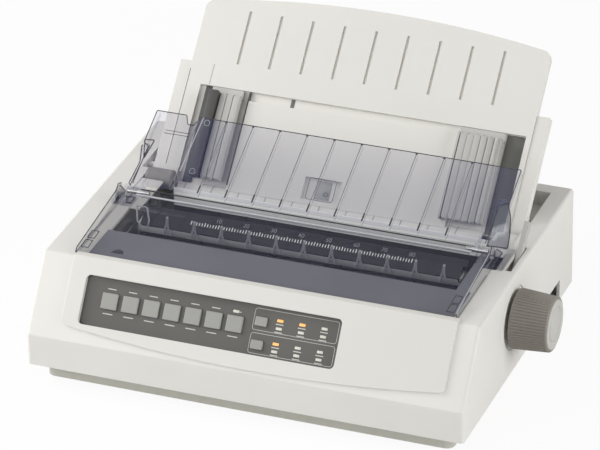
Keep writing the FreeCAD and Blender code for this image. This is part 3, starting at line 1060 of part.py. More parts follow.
def cover_pieces():
    """The tinted front cover, the two stands that carry its hinge, the pins and the rear flap."""
    thick = D.cover_thick
    lift = D.case_gap
    low_front = top_at(D.cover_front_y) + lift
    low_rear = top_at(D.cover_rear_y) + lift
    outer = loft(
        cover_frame(D.cover_front_y, D.cover_foot_front_half, D.cover_front_half, D.cover_front_z,
                    low_front, as_size(0)),
        cover_frame(D.cover_rear_y, D.cover_foot_rear_half, D.cover_rear_half, D.cover_rear_z,
                    low_rear, as_size(0)))
    inner = loft(
        cover_frame(D.cover_front_y + thick, D.cover_foot_front_half, D.cover_front_half,
                    D.cover_front_z - thick, low_front - thick, D.cover_side_wall),
        cover_frame(D.cover_rear_y + thick, D.cover_foot_rear_half, D.cover_rear_half,
                    D.cover_rear_z - thick, low_rear - thick, D.cover_side_wall))
    high = D.cover_rear_z + D.overrun
    shell = cut(outer, inner)
    ear_left = D.works_middle - D.ear_outer
    ear_right = D.works_middle + D.ear_outer
    step = D.ear_step
    ear = D.ear_thick
    notch_in = step * 2 + ear + D.touch_gap * 2
    notches = [
        box((ear_left - D.touch_gap, D.cover_notch_front, low_front - D.overrun),
            (ear_left + notch_in, D.cover_rear_y + D.overrun, high)),
        box((ear_right - notch_in, D.cover_notch_front, low_front - D.overrun),
            (ear_right + D.touch_gap, D.cover_rear_y + D.overrun, high)),
        box((-HALF_WIDTH, D.cover_skirt_rear, low_front - D.overrun), (ear_left, D.stand_rear, high)),
        box((ear_right, D.cover_skirt_rear, low_front - D.overrun), (HALF_WIDTH, D.stand_rear, high))]
    rise = (D.cover_rear_z - D.cover_front_z) / (D.cover_rear_y - D.cover_front_y)
    rib_low = D.cover_front_z + (D.cover_rib_front - D.cover_front_y) * rise - D.cover_rib_drop
    ribs = []
    for index in range(int(D.cover_rib_count.number)):
        middle = D.rib_middle + D.cover_rib_pitch * (index - (int(D.cover_rib_count.number) - 1) / 2)
        half = D.cover_rib_thick / 2
        ribs.append(prism("yz", middle - half, middle + half, [
            (D.cover_rib_front, rib_low), (D.cover_skirt_rear, rib_low - D.cover_rib_deep / 2),
            (D.cover_skirt_rear, D.cover_rear_z - thick),
            (D.cover_rib_front, rib_low + thick / 2)]))
    ears = []
    pins = []
    stands = []
    bore = D.hinge_pin + D.pin_gap
    for sign, edge in ((1, ear_left), (-1, ear_right)):
        def span(start, long):
            """Turns a distance in from the outer end of the hinge into a start and an end."""
            near = edge + start * sign
            far = edge + (start + long) * sign
            return (near, far) if sign > 0 else (far, near)
        own = span(step, ear)
        ears.append(cut(join(rod("x", *own, D.hinge_disc, HINGE),
                             prism("yz", *own, [
                                 (D.cover_ear_front, D.cover_ear_low),
                                 (D.hinge_y, D.cover_ear_low + thick / 2),
                                 (D.hinge_y, D.hinge_z + thick / 2),
                                 (D.cover_ear_front, D.hinge_z - thick / 2)])),
                        rod("x", own[0] - D.overrun, own[1] + D.overrun, bore, HINGE)))
        pins.append(rod("x", *span(as_size(0), step * 3 + D.pin_in), D.hinge_pin, HINGE))
        own = span(as_size(0), ear)
        tongue = join(rod("x", *own, D.hinge_disc, HINGE),
                      prism("yz", *own, [
                          (D.hinge_y, D.hinge_z - D.hinge_disc), (D.stand_rear, top_at(D.stand_rear) + lift),
                          (D.stand_rear, top_at(D.stand_rear) + D.stand_rear_high),
                          (D.hinge_y, D.hinge_z + D.hinge_disc / 2)]))
        outer_x = D.works_middle - D.stand_outer * sign
        base = (outer_x, own[1]) if sign > 0 else (own[0], outer_x)
        foot = prism("yz", *base, [
            (D.stand_front, top_at(D.stand_front)), (D.stand_rear, top_at(D.stand_rear)),
            (D.stand_rear, top_at(D.stand_rear) + D.stand_rear_high),
            (D.stand_front, top_at(D.stand_front) + D.stand_rear_high)])
        web = prism("yz", *own, [
            (D.stand_front, top_at(D.stand_front)), (D.stand_rear, top_at(D.stand_rear)),
            (D.stand_rear, top_at(D.stand_rear) + D.stand_rear_high), (D.hinge_y, D.hinge_z),
            (D.stand_front, D.hinge_z - D.hinge_disc / 2)])
        stands.append(cut(join(foot, web, tongue),
                          rod("x", own[0] - D.overrun, own[1] + D.overrun, D.hinge_pin, HINGE)))
    inset = step * 3
    barrel = rod("x", ear_left + inset, ear_right - inset, D.barrel_radius, HINGE)
    bores = [rod("x", *ends, bore, HINGE) for ends in (
        (ear_left + inset - D.overrun, ear_left + inset + D.pin_in + D.touch_gap),
        (ear_right - inset - D.pin_in - D.touch_gap, ear_right - inset + D.overrun))]
    web = prism("yz", ear_left + inset, ear_right - inset, [
        (D.cover_skirt_rear, D.cover_rear_z - thick - D.cover_web_thick),
        (D.hinge_y - bore, D.hinge_z - D.cover_web_thick / 2),
        (D.hinge_y - bore, D.hinge_z + D.cover_web_thick / 2), (D.cover_skirt_rear, D.cover_rear_z - thick)])
    node("front_cover", cut(join(cut(shell, *notches), *ribs, *ears, barrel, web), *bores))
    node("hinge_stands", stands)
    node("hinge_pins", pins)
    flap_piece(ear_left, ear_right, bore)


def flap_piece(ear_left, ear_right, bore):
    """The tinted rear flap, drawn flat in its own plane with the hinge axis along x."""
    middle = D.works_middle
    left = middle - D.flap_half
    right = middle + D.flap_half
    top = D.flap_top
    low = top - D.flap_thick
    plate = prism("xy", low, top, [
        (middle - D.flap_low_half, D.flap_low), (middle + D.flap_low_half, D.flap_low),
        (middle + D.flap_low_half, D.flap_step_low), (right, D.flap_step_high), (right, D.flap_high),
        (left + D.flap_notch_end, D.flap_high), (left + D.flap_notch_far, D.flap_high - D.flap_notch_deep),
        (left + D.flap_notch_in, D.flap_high - D.flap_notch_deep), (left + D.flap_tab_in, D.flap_high),
        (left, D.flap_high), (left, D.flap_step_high), (middle - D.flap_low_half, D.flap_step_low)])
    ribs = []
    for index in range(int(D.flap_rib_count.number)):
        centre = D.rib_middle + D.flap_rib_pitch * (index - (int(D.flap_rib_count.number) - 1) / 2)
        half = D.flap_rib_thick / 2
        ribs.append(box((centre - half, D.flap_low, low - D.flap_rib_high),
                        (centre + half, D.flap_low + D.flap_rib_long, low + D.flap_thick / 2)))
    lips = [box((x, D.flap_step_high, low - D.flap_lip),
                (x + D.flap_thick, D.flap_high, low + D.flap_thick / 2))
            for x in (left, right - D.flap_thick)]
    ears = []
    start = D.ear_step * 2
    for low_x, high_x in ((ear_left + start, ear_left + start + D.ear_thick),
                          (ear_right - start - D.ear_thick, ear_right - start)):
        ears.append(cut(join(rod("x", low_x, high_x, D.hinge_disc, (as_size(0), as_size(0))),
                             box((low_x, as_size(0), -D.hinge_pin),
                                 (high_x, D.flap_ear_reach, top))),
                        rod("x", low_x - D.overrun, high_x + D.overrun, bore, (as_size(0), as_size(0)))))
    flap_node("rear_flap", join(plate, *ribs, *lips, *ears))


def separator_pieces():
    """The tilted paper separator: its panel, the frame with wings and pivots, two sheet guides."""
    middle = D.separator_middle
    left = middle - D.separator_half
    right = middle + D.separator_half
    base = D.separator_base
    field = D.separator_field
    front = base + field
    crowned = [(left, D.separator_low), (right, D.separator_low), (right, D.separator_corner,
                                                                  D.separator_crown),
               (left, D.separator_corner)]
    panel = pad_body("separator_plate", "XY_Plane", crowned, front)
    round_edges(panel, D.separator_round, lambda item: along_axis(item, "z") and (
        item.Vertexes[0].Point.y > D.field_low.number))
    bay = cut(box((-D.recess_left, D.separator_low - D.overrun, base),
                  (D.recess_right, D.field_low, front + D.overrun)),
              box((-D.centre_left, D.separator_low - D.overrun * 2, base - D.overrun),
                  (D.centre_right, D.centre_high, front + D.overrun * 2)))
    grooves = []
    for index in range(int(D.groove_count.number)):
        centre = D.works_middle + D.groove_pitch * (index - (int(D.groove_count.number) - 1) / 2)
        half = D.groove_wide / 2
        grooves.append(box((centre - half, D.groove_low, front - D.groove_deep),
                           (centre + half, D.groove_high, front + D.overrun)))
    grip = box((-D.grip_left, D.grip_low, front - D.grip_deep), (D.grip_right, D.grip_high,
                                                                  front + D.overrun))
    separator_node("separator_panel", cut(panel, bay, grip, *grooves))

    wing_left = D.works_middle - D.wing_half
    wing_right = D.works_middle + D.wing_half
    wings = [box((wing_left, D.separator_low, -D.wing_back), (left - D.wing_gap, D.wing_high, D.wing_front)),
             box((right + D.wing_gap, D.separator_low, -D.wing_back), (wing_right, D.wing_high,
                                                                      D.wing_front))]
    beams = [box((wing_left, start, -D.wing_back), (wing_right, end, as_size(0)))
             for start, end in ((D.separator_low, D.beam_high), (D.beam_upper_low, D.beam_upper_high))]
    arms = [box((wing_left, -D.pivot_arm_low, -D.pivot_arm_deep), (left - D.wing_gap, D.pivot_arm_high,
                                                                   as_size(0))),
            box((right + D.wing_gap, -D.pivot_arm_low, -D.pivot_arm_deep),
                (wing_right, D.pivot_arm_high, as_size(0)))]
    pin_place = (as_size(0), -D.pivot_drop)
    pins = [rod("x", BAY_LEFT - D.pivot_bite, wing_left + D.pivot_bite, D.pivot_pin, pin_place),
            rod("x", wing_right - D.pivot_bite, BAY_RIGHT + D.pivot_bite, D.pivot_pin, pin_place)]
    separator_node("separator_frame", join(*wings, *beams, *arms, *pins))

    lift = front + D.guide_lift
    plate_top = lift + D.guide_plate
    for name, out, near, sign in (("sheet_guide_left", -D.guide_left_out, -D.guide_left_in, 1),
                                  ("sheet_guide_right", D.guide_right_out, D.guide_right_in, -1)):
        start, end = (out, near) if sign > 0 else (near, out)
        plate = box((start, D.guide_low, lift), (end, D.guide_top, plate_top))
        thick = D.guide_rib_thick
        count = int((end - start - thick).number / D.guide_rib_pitch.number) + 1
        ribs = []
        for index in range(count):
            rib = near - (D.guide_rib_pitch * index + thick / 2) * sign
            high = D.guide_fence_high if index == count - 1 else D.guide_rib_high
            ribs.append(box((rib - thick / 2, D.guide_low, lift + D.guide_plate / 2),
                            (rib + thick / 2, D.guide_top, plate_top + high)))
        tab_low = D.centre_high + D.touch_gap * 2
        tab = box((start, tab_low, base + D.touch_gap), (end, tab_low + D.guide_tab_long, plate_top))
        separator_node(name, join(plate, tab, *ribs))


def lever_pieces():
    """The paper lever in the right cheek, and the power switch in its recess."""
    thick = D.lever_thick / 2
    pivot = (D.lever_pivot_y, D.lever_pivot_z)
    half = D.lever_wide / 2
    tip = D.lever_tip_wide / 2
    arm = join(
        rod("x", D.lever_x - thick, D.lever_x + thick, D.lever_hub, (as_size(0), as_size(0))),
        prism("yz", D.lever_x - thick, D.lever_x + thick, [
            (as_size(0), -half), (D.lever_long - D.lever_tip_long, -half), (D.lever_long, -tip),
            (D.lever_long, tip), (D.lever_long - D.lever_tip_long, half), (as_size(0), half)]))
    hole = rod("x", D.lever_x - thick - D.overrun, D.lever_x + thick + D.overrun,
               D.lever_pin + D.pin_gap, (as_size(0), as_size(0)))
    node("paper_lever", cut(arm, hole), (0, pivot[0], pivot[1]), D.lever_angle)

    middle = (D.switch_front + D.switch_rear) / 2
    height = (FLANGE_TOP + D.switch_top) / 2
    rise = (D.switch_top - FLANGE_TOP) / 2 - D.rocker_margin
    place = (D.rocker_x, middle)
    pit = D.rocker_half + D.rocker_play
    housing = cut(
        box((D.switch_inner, D.switch_front, FLANGE_TOP), (D.switch_outer, D.switch_rear, D.switch_top)),
        box((D.rocker_x - D.rocker_end - D.touch_gap, middle - pit, height - rise - D.touch_gap),
            (D.switch_outer + D.overrun, middle + pit, height + rise + D.touch_gap)),
        rod("z", height - rise - D.rocker_pin_long - D.touch_gap,
            height + rise + D.rocker_pin_long + D.touch_gap, D.rocker_pin + D.pin_gap, place))
    node("power_switch", housing)
    body = prism("xy", height - rise, height + rise, [
        (-D.rocker_deep, -D.rocker_half), (D.rocker_end, -D.rocker_half), (D.rocker_dip, as_size(0)),
        (D.rocker_end, D.rocker_half), (-D.rocker_deep, D.rocker_half)])
    body = join(body, rod("z", height - rise - D.rocker_pin_long, height + rise + D.rocker_pin_long,
                          D.rocker_pin, (as_size(0), as_size(0))))
    body.Placement = FreeCAD.Placement(FreeCAD.Vector(), FreeCAD.Rotation(FreeCAD.Vector(0, 0, 1), 1))
    bind(body, "Placement.Rotation.Angle", D.rocker_tilt)
    bind_base(body, (D.rocker_x, middle, 0))
    node("power_rocker", body)


def electric_pieces():
    """The main board with its parts, the transformer, and the two sockets at the back."""
    low = FLOOR_TOP + D.card_rise
    top = card_top()
    node("main_board", box((D.card_left, D.card_front, low), (D.card_right, D.card_rear, top)))
    parts = [box((D.sink_left, D.sink_front, top),
                 (D.sink_left + D.sink_wide, D.sink_front + D.sink_deep, top + D.sink_high))]
    steps = int(D.chip_count.number) - 1
    pitch = (D.card_right - D.chip_end - D.chip_wide - D.chip_first) / steps
    for index in range(steps + 1):
        start = D.chip_first + pitch * index
        parts.append(box((start, D.chip_front, top), (start + D.chip_wide, D.chip_front + D.chip_deep,
                                                      top + D.chip_high)))
    node("board_parts", parts)
    core = box((D.core_left, D.core_front, FLOOR_TOP), (D.core_right, D.core_rear,
                                                        FLOOR_TOP + D.core_high))
    inset = D.coil_inset
    coil = box((D.core_left + inset, D.core_front - D.coil_proud, FLOOR_TOP + inset),
               (D.core_right - inset, D.core_rear + D.coil_proud, FLOOR_TOP + D.core_high - inset))
    node("transformer", join(core, coil))

    rear = D.shell_depth + D.socket_proud
    rim = D.socket_rim
    node("parallel_socket", cut(
        box((D.socket_left, D.socket_front, top), (D.socket_right, rear, top + D.socket_high)),
        box((D.socket_left + rim, rear - D.socket_deep, top + rim),
            (D.socket_right - rim, rear + D.overrun, top + D.socket_high - rim))))
    rim = D.inlet_rim
    rear = D.shell_depth
    x_middle = (D.inlet_left + D.inlet_right) / 2
    z_middle = (D.inlet_low + D.inlet_high) / 2
    block = cut(box((D.inlet_left, D.inlet_front, D.inlet_low), (D.inlet_right, rear, D.inlet_high)),
                box((D.inlet_left + rim, rear - D.inlet_deep, D.inlet_low + rim),
                    (D.inlet_right - rim, rear + D.overrun, D.inlet_high - rim)))
    pins = [box((x_middle + D.inlet_pin_spread * step - D.inlet_pin / 2, rear - D.inlet_deep - D.inlet_pin,
                 z_middle - D.inlet_pin * 2),
                (x_middle + D.inlet_pin_spread * step + D.inlet_pin / 2, rear - D.inlet_pin * 2,
                 z_middle + D.inlet_pin * 2)) for step in (-1, 0, 1)]
    node("power_inlet", join(block, *pins))


case_pieces()
panel_pieces()
frame_pieces()
platen_pieces()
carriage_pieces()
bail_pieces()
cover_pieces()
separator_pieces()
lever_pieces()
electric_pieces()
doc.recompute()

for thing in doc.Objects:
    if "Invalid" in thing.State or "Error" in thing.State:
        raise ValueError(thing.Name + " could not be worked out: " + str(thing.State))
for name, thing in nodes.items():
    shape = thing.Shape
    if shape.isNull() or not shape.isValid() or not shape.Solids:
        raise ValueError(name + " has no sound shape")

os.makedirs("parts", exist_ok=True)
for name, thing in nodes.items():
    thing.Shape.exportStep(os.path.join("parts", name + ".step"))
    print(name, len(thing.Shape.Solids), "solids", round(thing.Shape.Volume), "mm3")
print(len(nodes), "nodes")
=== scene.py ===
"""A white dot matrix printer with a tinted cover, dressed for a plain studio picture.

Places are counted on a drawing of the case, in divisions of 1.08 mm: x from the middle of the
shell towards the platen knob, y from the front of the shell to the back, z up from the floor.
The function row_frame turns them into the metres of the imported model. On a tilted plane the
three numbers are across it, up along it and out of it.
"""
import functools
import logging
import math
from collections.abc import Iterable
from dataclasses import dataclass
from enum import Enum

import bmesh
import bpy
import numpy as np
from mathutils import Matrix, Vector


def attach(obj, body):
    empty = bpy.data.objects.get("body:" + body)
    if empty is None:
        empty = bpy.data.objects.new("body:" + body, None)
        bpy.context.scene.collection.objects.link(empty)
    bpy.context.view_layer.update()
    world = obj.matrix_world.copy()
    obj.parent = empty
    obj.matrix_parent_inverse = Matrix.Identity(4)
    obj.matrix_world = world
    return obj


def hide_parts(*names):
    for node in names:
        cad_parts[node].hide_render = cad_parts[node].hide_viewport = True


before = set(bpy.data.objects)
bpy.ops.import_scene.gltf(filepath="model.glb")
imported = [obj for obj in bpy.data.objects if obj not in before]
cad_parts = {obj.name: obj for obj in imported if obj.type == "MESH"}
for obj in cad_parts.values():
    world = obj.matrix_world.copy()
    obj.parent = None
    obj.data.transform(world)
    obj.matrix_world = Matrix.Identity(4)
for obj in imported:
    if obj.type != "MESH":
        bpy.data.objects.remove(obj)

Array = np.ndarray
Spot = tuple[float, float]
Point = tuple[float, float, float]
Spots = tuple[Spot, ...]
Points = tuple[Point, ...]
LOG = logging.getLogger("printer")
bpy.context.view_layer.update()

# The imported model's origin is under its middle, so the drawing is shifted before it is scaled.
CASE_SHIFT = np.array([-17.0, -157.577, 0.0])
DIVISION = 0.00108
MILLIMETRE = 0.001
# Points of a piece that are nearer than this, in metres, become one.
WELD = 1e-6
# Edges that turn by more than this stay sharp.
SHARP_ANGLE = math.radians(35.0)
# The cover's fingers, the flap's ribs and the lip's lines share one pitch.
RIB_PITCH = 23.5
RIB_COUNT = 11
# How finely circles, bends, rounded edges and wires are divided.
CIRCLE_POINTS = 20
BEND_POINTS = 4
BLOCK_EDGE_POINTS = 3
WIRE_SIDES = 8
FINE_SIDES = 6
WHITE = (1.0, 1.0, 1.0, 1.0)


def row_frame(points: Array) -> Array:
    """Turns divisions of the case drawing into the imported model's metres.

    Args:
        points: array whose last axis holds x, y and z.

    Returns:
        The same points, shifted and scaled.
    """
    return (np.asarray(points, dtype=float) + CASE_SHIFT) * DIVISION


@dataclass(frozen=True)
class Tilt:
    """A plane of the case that leans about x: its foot and its angle from the floor."""

    foot_y: float
    foot_z: float
    degrees: float

    def placed(self, rows: Array) -> Array:
        """Places points given across the plane, up along it and out of it.

        Formula: y = foot + up cos a - out sin a, z = foot + up sin a + out cos a.

        Args:
            rows: array whose last axis holds across, up and out.

        Returns:
            The points as x, y and z of the drawing.
        """
        angle = math.radians(self.degrees)
        across, up, out = np.moveaxis(np.asarray(rows, dtype=float), -1, 0)
        return np.stack([
            across,
            self.foot_y + up * math.cos(angle) - out * math.sin(angle),
            self.foot_z + up * math.sin(angle) + out * math.cos(angle)], axis=-1)


LEVEL = Tilt(0.0, 0.0, 0.0)
SLOPE = Tilt(0.0, 43.7, math.degrees(math.atan2(55.8, 39.6)))
SEPARATOR = Tilt(206.3, 99.3, 46.0)
FLAP = Tilt(132.0, 113.0, 26.5)
SCALE = Tilt(118.0, 97.5, 30.0)


@dataclass(frozen=True)
class Arc:
    """Part of an ellipse, from one angle to another in degrees."""

    centre: Spot
    radii: Spot
    start: float
    end: float
    steps: int

    def points(self) -> Array:
        """Points at even angles: c + r cos t and d + s sin t."""
        turn = np.radians(np.linspace(self.start, self.end, self.steps))
        return self.centre + np.stack([np.cos(turn), np.sin(turn)], axis=-1) * self.radii


def full_circle(centre: Spot, radius: float) -> Arc:
    """A circle whose last point is its first."""
    return Arc(centre, (radius, radius), 0.0, 360.0, CIRCLE_POINTS)


class Grain(Enum):
    """How a finish's grain is drawn out: the scale of its noise along x, y and z."""

    EVEN = (1.0, 1.0, 1.0)
    BRUSHED = (0.04, 1.0, 1.0)


def wired(tree: bpy.types.NodeTree,
          *links: tuple[bpy.types.NodeSocket, bpy.types.NodeSocket]) -> None:
    """Links the sockets of a node tree.

    Args:
        tree: the node tree.
        links: pairs of an output and the input that it feeds.
    """
    for source, target in links:
        tree.links.new(source, target)


def shown_to(tree: bpy.types.NodeTree, rays: tuple[str, ...], share: float,
             others: bpy.types.Node, named: bpy.types.Node, end: str) -> None:
    """Shows one shader to some kinds of ray and another to all the others.

    Formula: the mix is the share times the largest of Light Path's named outputs.

    Args:
        tree: the node tree.
        rays: the kinds of ray, as Light Path names them.
        share: how much of their own shader these rays see.
        others: shader that all the other rays see.
        named: shader for the named rays.
        end: name of the output node.
    """
    path = tree.nodes.new("ShaderNodeLightPath")
    value = path.outputs[rays[0]]
    for ray in rays[1:]:
        larger = tree.nodes.new("ShaderNodeMath")
        larger.operation = "MAXIMUM"
        wired(tree, (value, larger.inputs[0]), (path.outputs[ray], larger.inputs[1]))
        value = larger.outputs[0]
    weight = tree.nodes.new("ShaderNodeMath")
    weight.operation = "MULTIPLY"
    weight.inputs[1].default_value = share
    mix = tree.nodes.new("ShaderNodeMixShader")
    wired(tree, (value, weight.inputs[0]), (weight.outputs[0], mix.inputs[0]),
          (others.outputs[0], mix.inputs[1]), (named.outputs[0], mix.inputs[2]),
          (mix.outputs[0], tree.nodes[end].inputs["Surface"]))


@dataclass(frozen=True)
class Finish:
    """One surface finish, as the numbers that its shader needs.

    The bump follows a grain of grain_mm that is depth mm deep, and the colour wanders by the
    drift share over patches of patch_mm.
    """

    name: str
    colour: Point
    roughness: float
    grain_mm: float
    depth: float
    drift: float
    grain: Grain = Grain.EVEN
    metallic: float = 0.0
    alpha: float = 1.0
    glow: float = 0.0
    specular: float = 0.5
    patch_mm: float = 60.0
    patch_detail: float = 3.0
    grain_detail: float = 4.0
    tone_span: Spot = (0.3, 0.7)
    gloss_span: Spot = (-0.05, 0.07)
    gloss_limits: Spot = (0.02, 1.0)

    def material(self) -> bpy.types.Material:
        """Builds the procedural material, or finds it if it is there.

        Returns:
            The material.
        """
        made = bpy.data.materials.get(self.name)
        if made is not None:
            return made
        made = bpy.data.materials.new(self.name)
        made.use_nodes = True
        tree = made.node_tree
        shader = tree.nodes["Principled BSDF"]
        shader.inputs["Metallic"].default_value = self.metallic
        shader.inputs["Alpha"].default_value = self.alpha
        shader.inputs["Specular IOR Level"].default_value = self.specular
        if self.glow:
            shader.inputs["Emission Color"].default_value = (*self.colour, 1.0)
            shader.inputs["Emission Strength"].default_value = self.glow
        place = tree.nodes.new("ShaderNodeTexCoord")
        patches = self._noise(tree, place, self.patch_mm, self.patch_detail)
        tone = tree.nodes.new("ShaderNodeValToRGB")
        for stop, position, share in zip(tone.color_ramp.elements, self.tone_span,
                                         (1 - self.drift, 1 + self.drift)):
            stop.position = position
            stop.color = (*(min(c * share, 1.0) for c in self.colour), 1.0)
        grain = self._noise(tree, place, self.grain_mm, self.grain_detail)
        gloss = tree.nodes.new("ShaderNodeMapRange")
        for end, step in zip(("To Min", "To Max"), self.gloss_span):
            gloss.inputs[end].default_value = min(
                max(self.roughness + step, self.gloss_limits[0]), self.gloss_limits[1])
        bump = tree.nodes.new("ShaderNodeBump")
        bump.inputs["Strength"].default_value = 1.0
        bump.inputs["Distance"].default_value = self.depth * MILLIMETRE
        wired(tree, (patches.outputs["Fac"], tone.inputs["Fac"]),
              (tone.outputs["Color"], shader.inputs["Base Color"]),
              (grain.outputs["Fac"], gloss.inputs["Value"]),
              (gloss.outputs["Result"], shader.inputs["Roughness"]),
              (grain.outputs["Fac"], bump.inputs["Height"]),
              (bump.outputs["Normal"], shader.inputs["Normal"]))
        return made

    def _noise(self, tree: bpy.types.NodeTree, place: bpy.types.Node, size_mm: float,
               detail: float) -> bpy.types.Node:
        """Adds a noise of one size on the object's own coordinates.

        Args:
            tree: node tree of the material.
            place: the texture coordinate node.
            size_mm: size of one patch.
            detail: octaves of the noise.

        Returns:
            The noise node.
        """
        mapping = tree.nodes.new("ShaderNodeMapping")
        mapping.inputs["Scale"].default_value = self.grain.value
        noise = tree.nodes.new("ShaderNodeTexNoise")
        noise.inputs["Scale"].default_value = 1.0 / (size_mm * MILLIMETRE)
        noise.inputs["Detail"].default_value = detail
        wired(tree, (place.outputs["Object"], mapping.inputs["Vector"]),
              (mapping.outputs["Vector"], noise.inputs["Vector"]))
        return noise


SHELL = Finish("off_white_shell", (0.80, 0.785, 0.745), 0.55, 0.7, 0.05, 0.012)
PEDESTAL = Finish("warm_grey_base", (0.56, 0.55, 0.49), 0.6, 0.7, 0.05, 0.02)
BEZEL = Finish("smooth_bezel", (0.73, 0.715, 0.675), 0.45, 0.9, 0.03, 0.01)
SEPARATOR_SHELL = Finish("separator_white", (0.78, 0.765, 0.72), 0.6, 0.8, 0.05, 0.012)
PANEL = Finish("dark_membrane", (0.088, 0.085, 0.078), 0.5, 0.5, 0.03, 0.08)
PANEL_LINE = Finish("pale_panel_line", (0.62, 0.61, 0.57), 0.6, 0.6, 0.02, 0.05)
BUTTON = Finish("button_grey", (0.315, 0.315, 0.292), 0.42, 0.6, 0.03, 0.03)
LIGHT_OFF = Finish("pale_lens", (0.72, 0.70, 0.62), 0.3, 1.0, 0.02, 0.05)
LIGHT_ON = Finish("orange_lens", (0.95, 0.42, 0.12), 0.3, 1.0, 0.02, 0.05, glow=0.6)
KNOB = Finish("ribbed_knob", (0.26, 0.238, 0.208), 0.55, 0.5, 0.05, 0.06)
SMOKE = Finish("smoke_cover", (0.045, 0.047, 0.095), 0.09, 8.0, 0.02, 0.04, alpha=0.16,
               specular=0.25)
HAZE = Finish("haze_flap", (0.085, 0.092, 0.27), 0.09, 8.0, 0.02, 0.04, alpha=0.105, specular=0.3)
# The clear fingers are pale and nearly opaque: partly their own clear plastic, partly a painted
# highlight where their edges catch the light.
CLEAR_RIB = Finish("clear_rib_painted_highlight", (0.46, 0.48, 0.53), 0.15, 8.0, 0.02, 0.04, alpha=0.85, specular=0.7)
# Painted shade: the right flank is the flap's own plastic, made darker and less clear than the left
# flank, which keeps the flap's haze.
FLANK_SHADE = Finish("flank_painted_shade", (0.17, 0.18, 0.24), 0.12, 8.0, 0.02, 0.04, alpha=0.45, specular=0.6)
# The lip's glow is painted light: it brightens the pale lip where the bay shades it.
LIP_PAINTED_LIGHT = Finish("painted_light_lip", (0.78, 0.78, 0.78), 0.5, 0.8, 0.03, 0.02, glow=0.28)
# The ticks' glow is painted light, which makes the white print brighter than the lamps alone.
TICK = Finish("scale_white_painted_glow", (0.90, 0.90, 0.90), 0.6, 0.6, 0.01, 0.02, glow=0.2)
NUMBER = Finish("faded_number", (0.36, 0.36, 0.38), 0.6, 0.6, 0.01, 0.02)
# Painted shade: the grey floor darkens the finger grip's recess where its wall shades it.
GRIP_SHADE = Finish("grip_painted_shade", (0.42, 0.42, 0.40), 0.6, 0.8, 0.05, 0.15)
# The ledge's sheet is a mid grey, darker than the shell, laid over the ledge under the cover.
LEDGE = Finish("ledge_cover_sheet", (0.25, 0.25, 0.28), 0.55, 0.8, 0.05, 0.06)
# Painted shade: dark wires along the cover's and the flap's edges, the heels and the pads'
# outlines, where the tinted plastic's edges look dark.
PAINTED_EDGE_SHADE = Finish("painted_shade_edge", (0.045, 0.048, 0.06), 0.25, 4.0, 0.02, 0.05, alpha=0.85)
# Painted highlights: pale wires stand for the light caught along clear edges, a crease, a clip and
# the flap's fold.
PAINTED_EDGE_HIGHLIGHT = Finish("painted_highlight_edge", (0.56, 0.57, 0.61), 0.2, 4.0, 0.02, 0.05, alpha=0.8)
# Thin dark lines: on the flap's ribs, the lip's ribs and round the grip and its stud they are
# painted shade; they also draw the separator's seams.
SHADE_AND_SEAM_LINE = Finish("rib_line", (0.22, 0.22, 0.25), 0.4, 1.0, 0.02, 0.05, alpha=0.8)
# Painted shade on the floors of the recess beside the right guide and under the panel's step.
FLOOR_SHADE = Finish("shaded_floor", (0.14, 0.14, 0.125), 0.6, 0.8, 0.05, 0.05)
# Near black for painted shade: the channel beside the left guide, the recess and the gap near it,
# and the ledge's notch.
PAINTED_DEEP_SHADE = Finish("painted_deep_shade", (0.055, 0.055, 0.052), 0.5, 0.6, 0.05, 0.12)
STRIP = Finish("grey_strip", (0.40, 0.41, 0.42), 0.45, 0.8, 0.03, 0.05)
FELT = Finish("worn_felt", (0.37, 0.355, 0.31), 0.85, 0.8, 0.15, 0.25)
CAP = Finish("knob_cap_plastic", (0.56, 0.55, 0.515), 0.5, 0.7, 0.04, 0.012)
RUBBER = Finish("black_rubber", (0.022, 0.022, 0.024), 0.75, 0.4, 0.06, 0.15)
STEEL = Finish("ground_steel", (0.60, 0.60, 0.59), 0.28, 0.25, 0.01, 0.06, Grain.BRUSHED,
               metallic=1.0)
PLATED = Finish("plated_sheet", (0.50, 0.50, 0.49), 0.4, 1.2, 0.02, 0.10, metallic=1.0)
BLACK = Finish("black_plastic", (0.03, 0.03, 0.032), 0.5, 0.6, 0.05, 0.15)
GREY = Finish("guide_grey", (0.53, 0.525, 0.50), 0.5, 0.6, 0.04, 0.02)
PALE = Finish("natural_nylon", (0.70, 0.68, 0.62), 0.45, 0.8, 0.03, 0.03)
ALLOY = Finish("cast_alloy", (0.36, 0.36, 0.37), 0.5, 0.9, 0.08, 0.08, metallic=0.8)
BOARD = Finish("green_lacquer", (0.03, 0.16, 0.06), 0.3, 2.5, 0.08, 0.15)
SCALE_STRIP = Finish("smoked_strip", (0.030, 0.031, 0.036), 0.25, 1.0, 0.02, 0.1)
CORE = Finish("laminated_core", (0.09, 0.09, 0.095), 0.55, 0.5, 0.08, 0.2, Grain.BRUSHED)
LEVER = Finish("lever_plastic", (0.52, 0.51, 0.49), 0.4, 0.6, 0.03, 0.02)

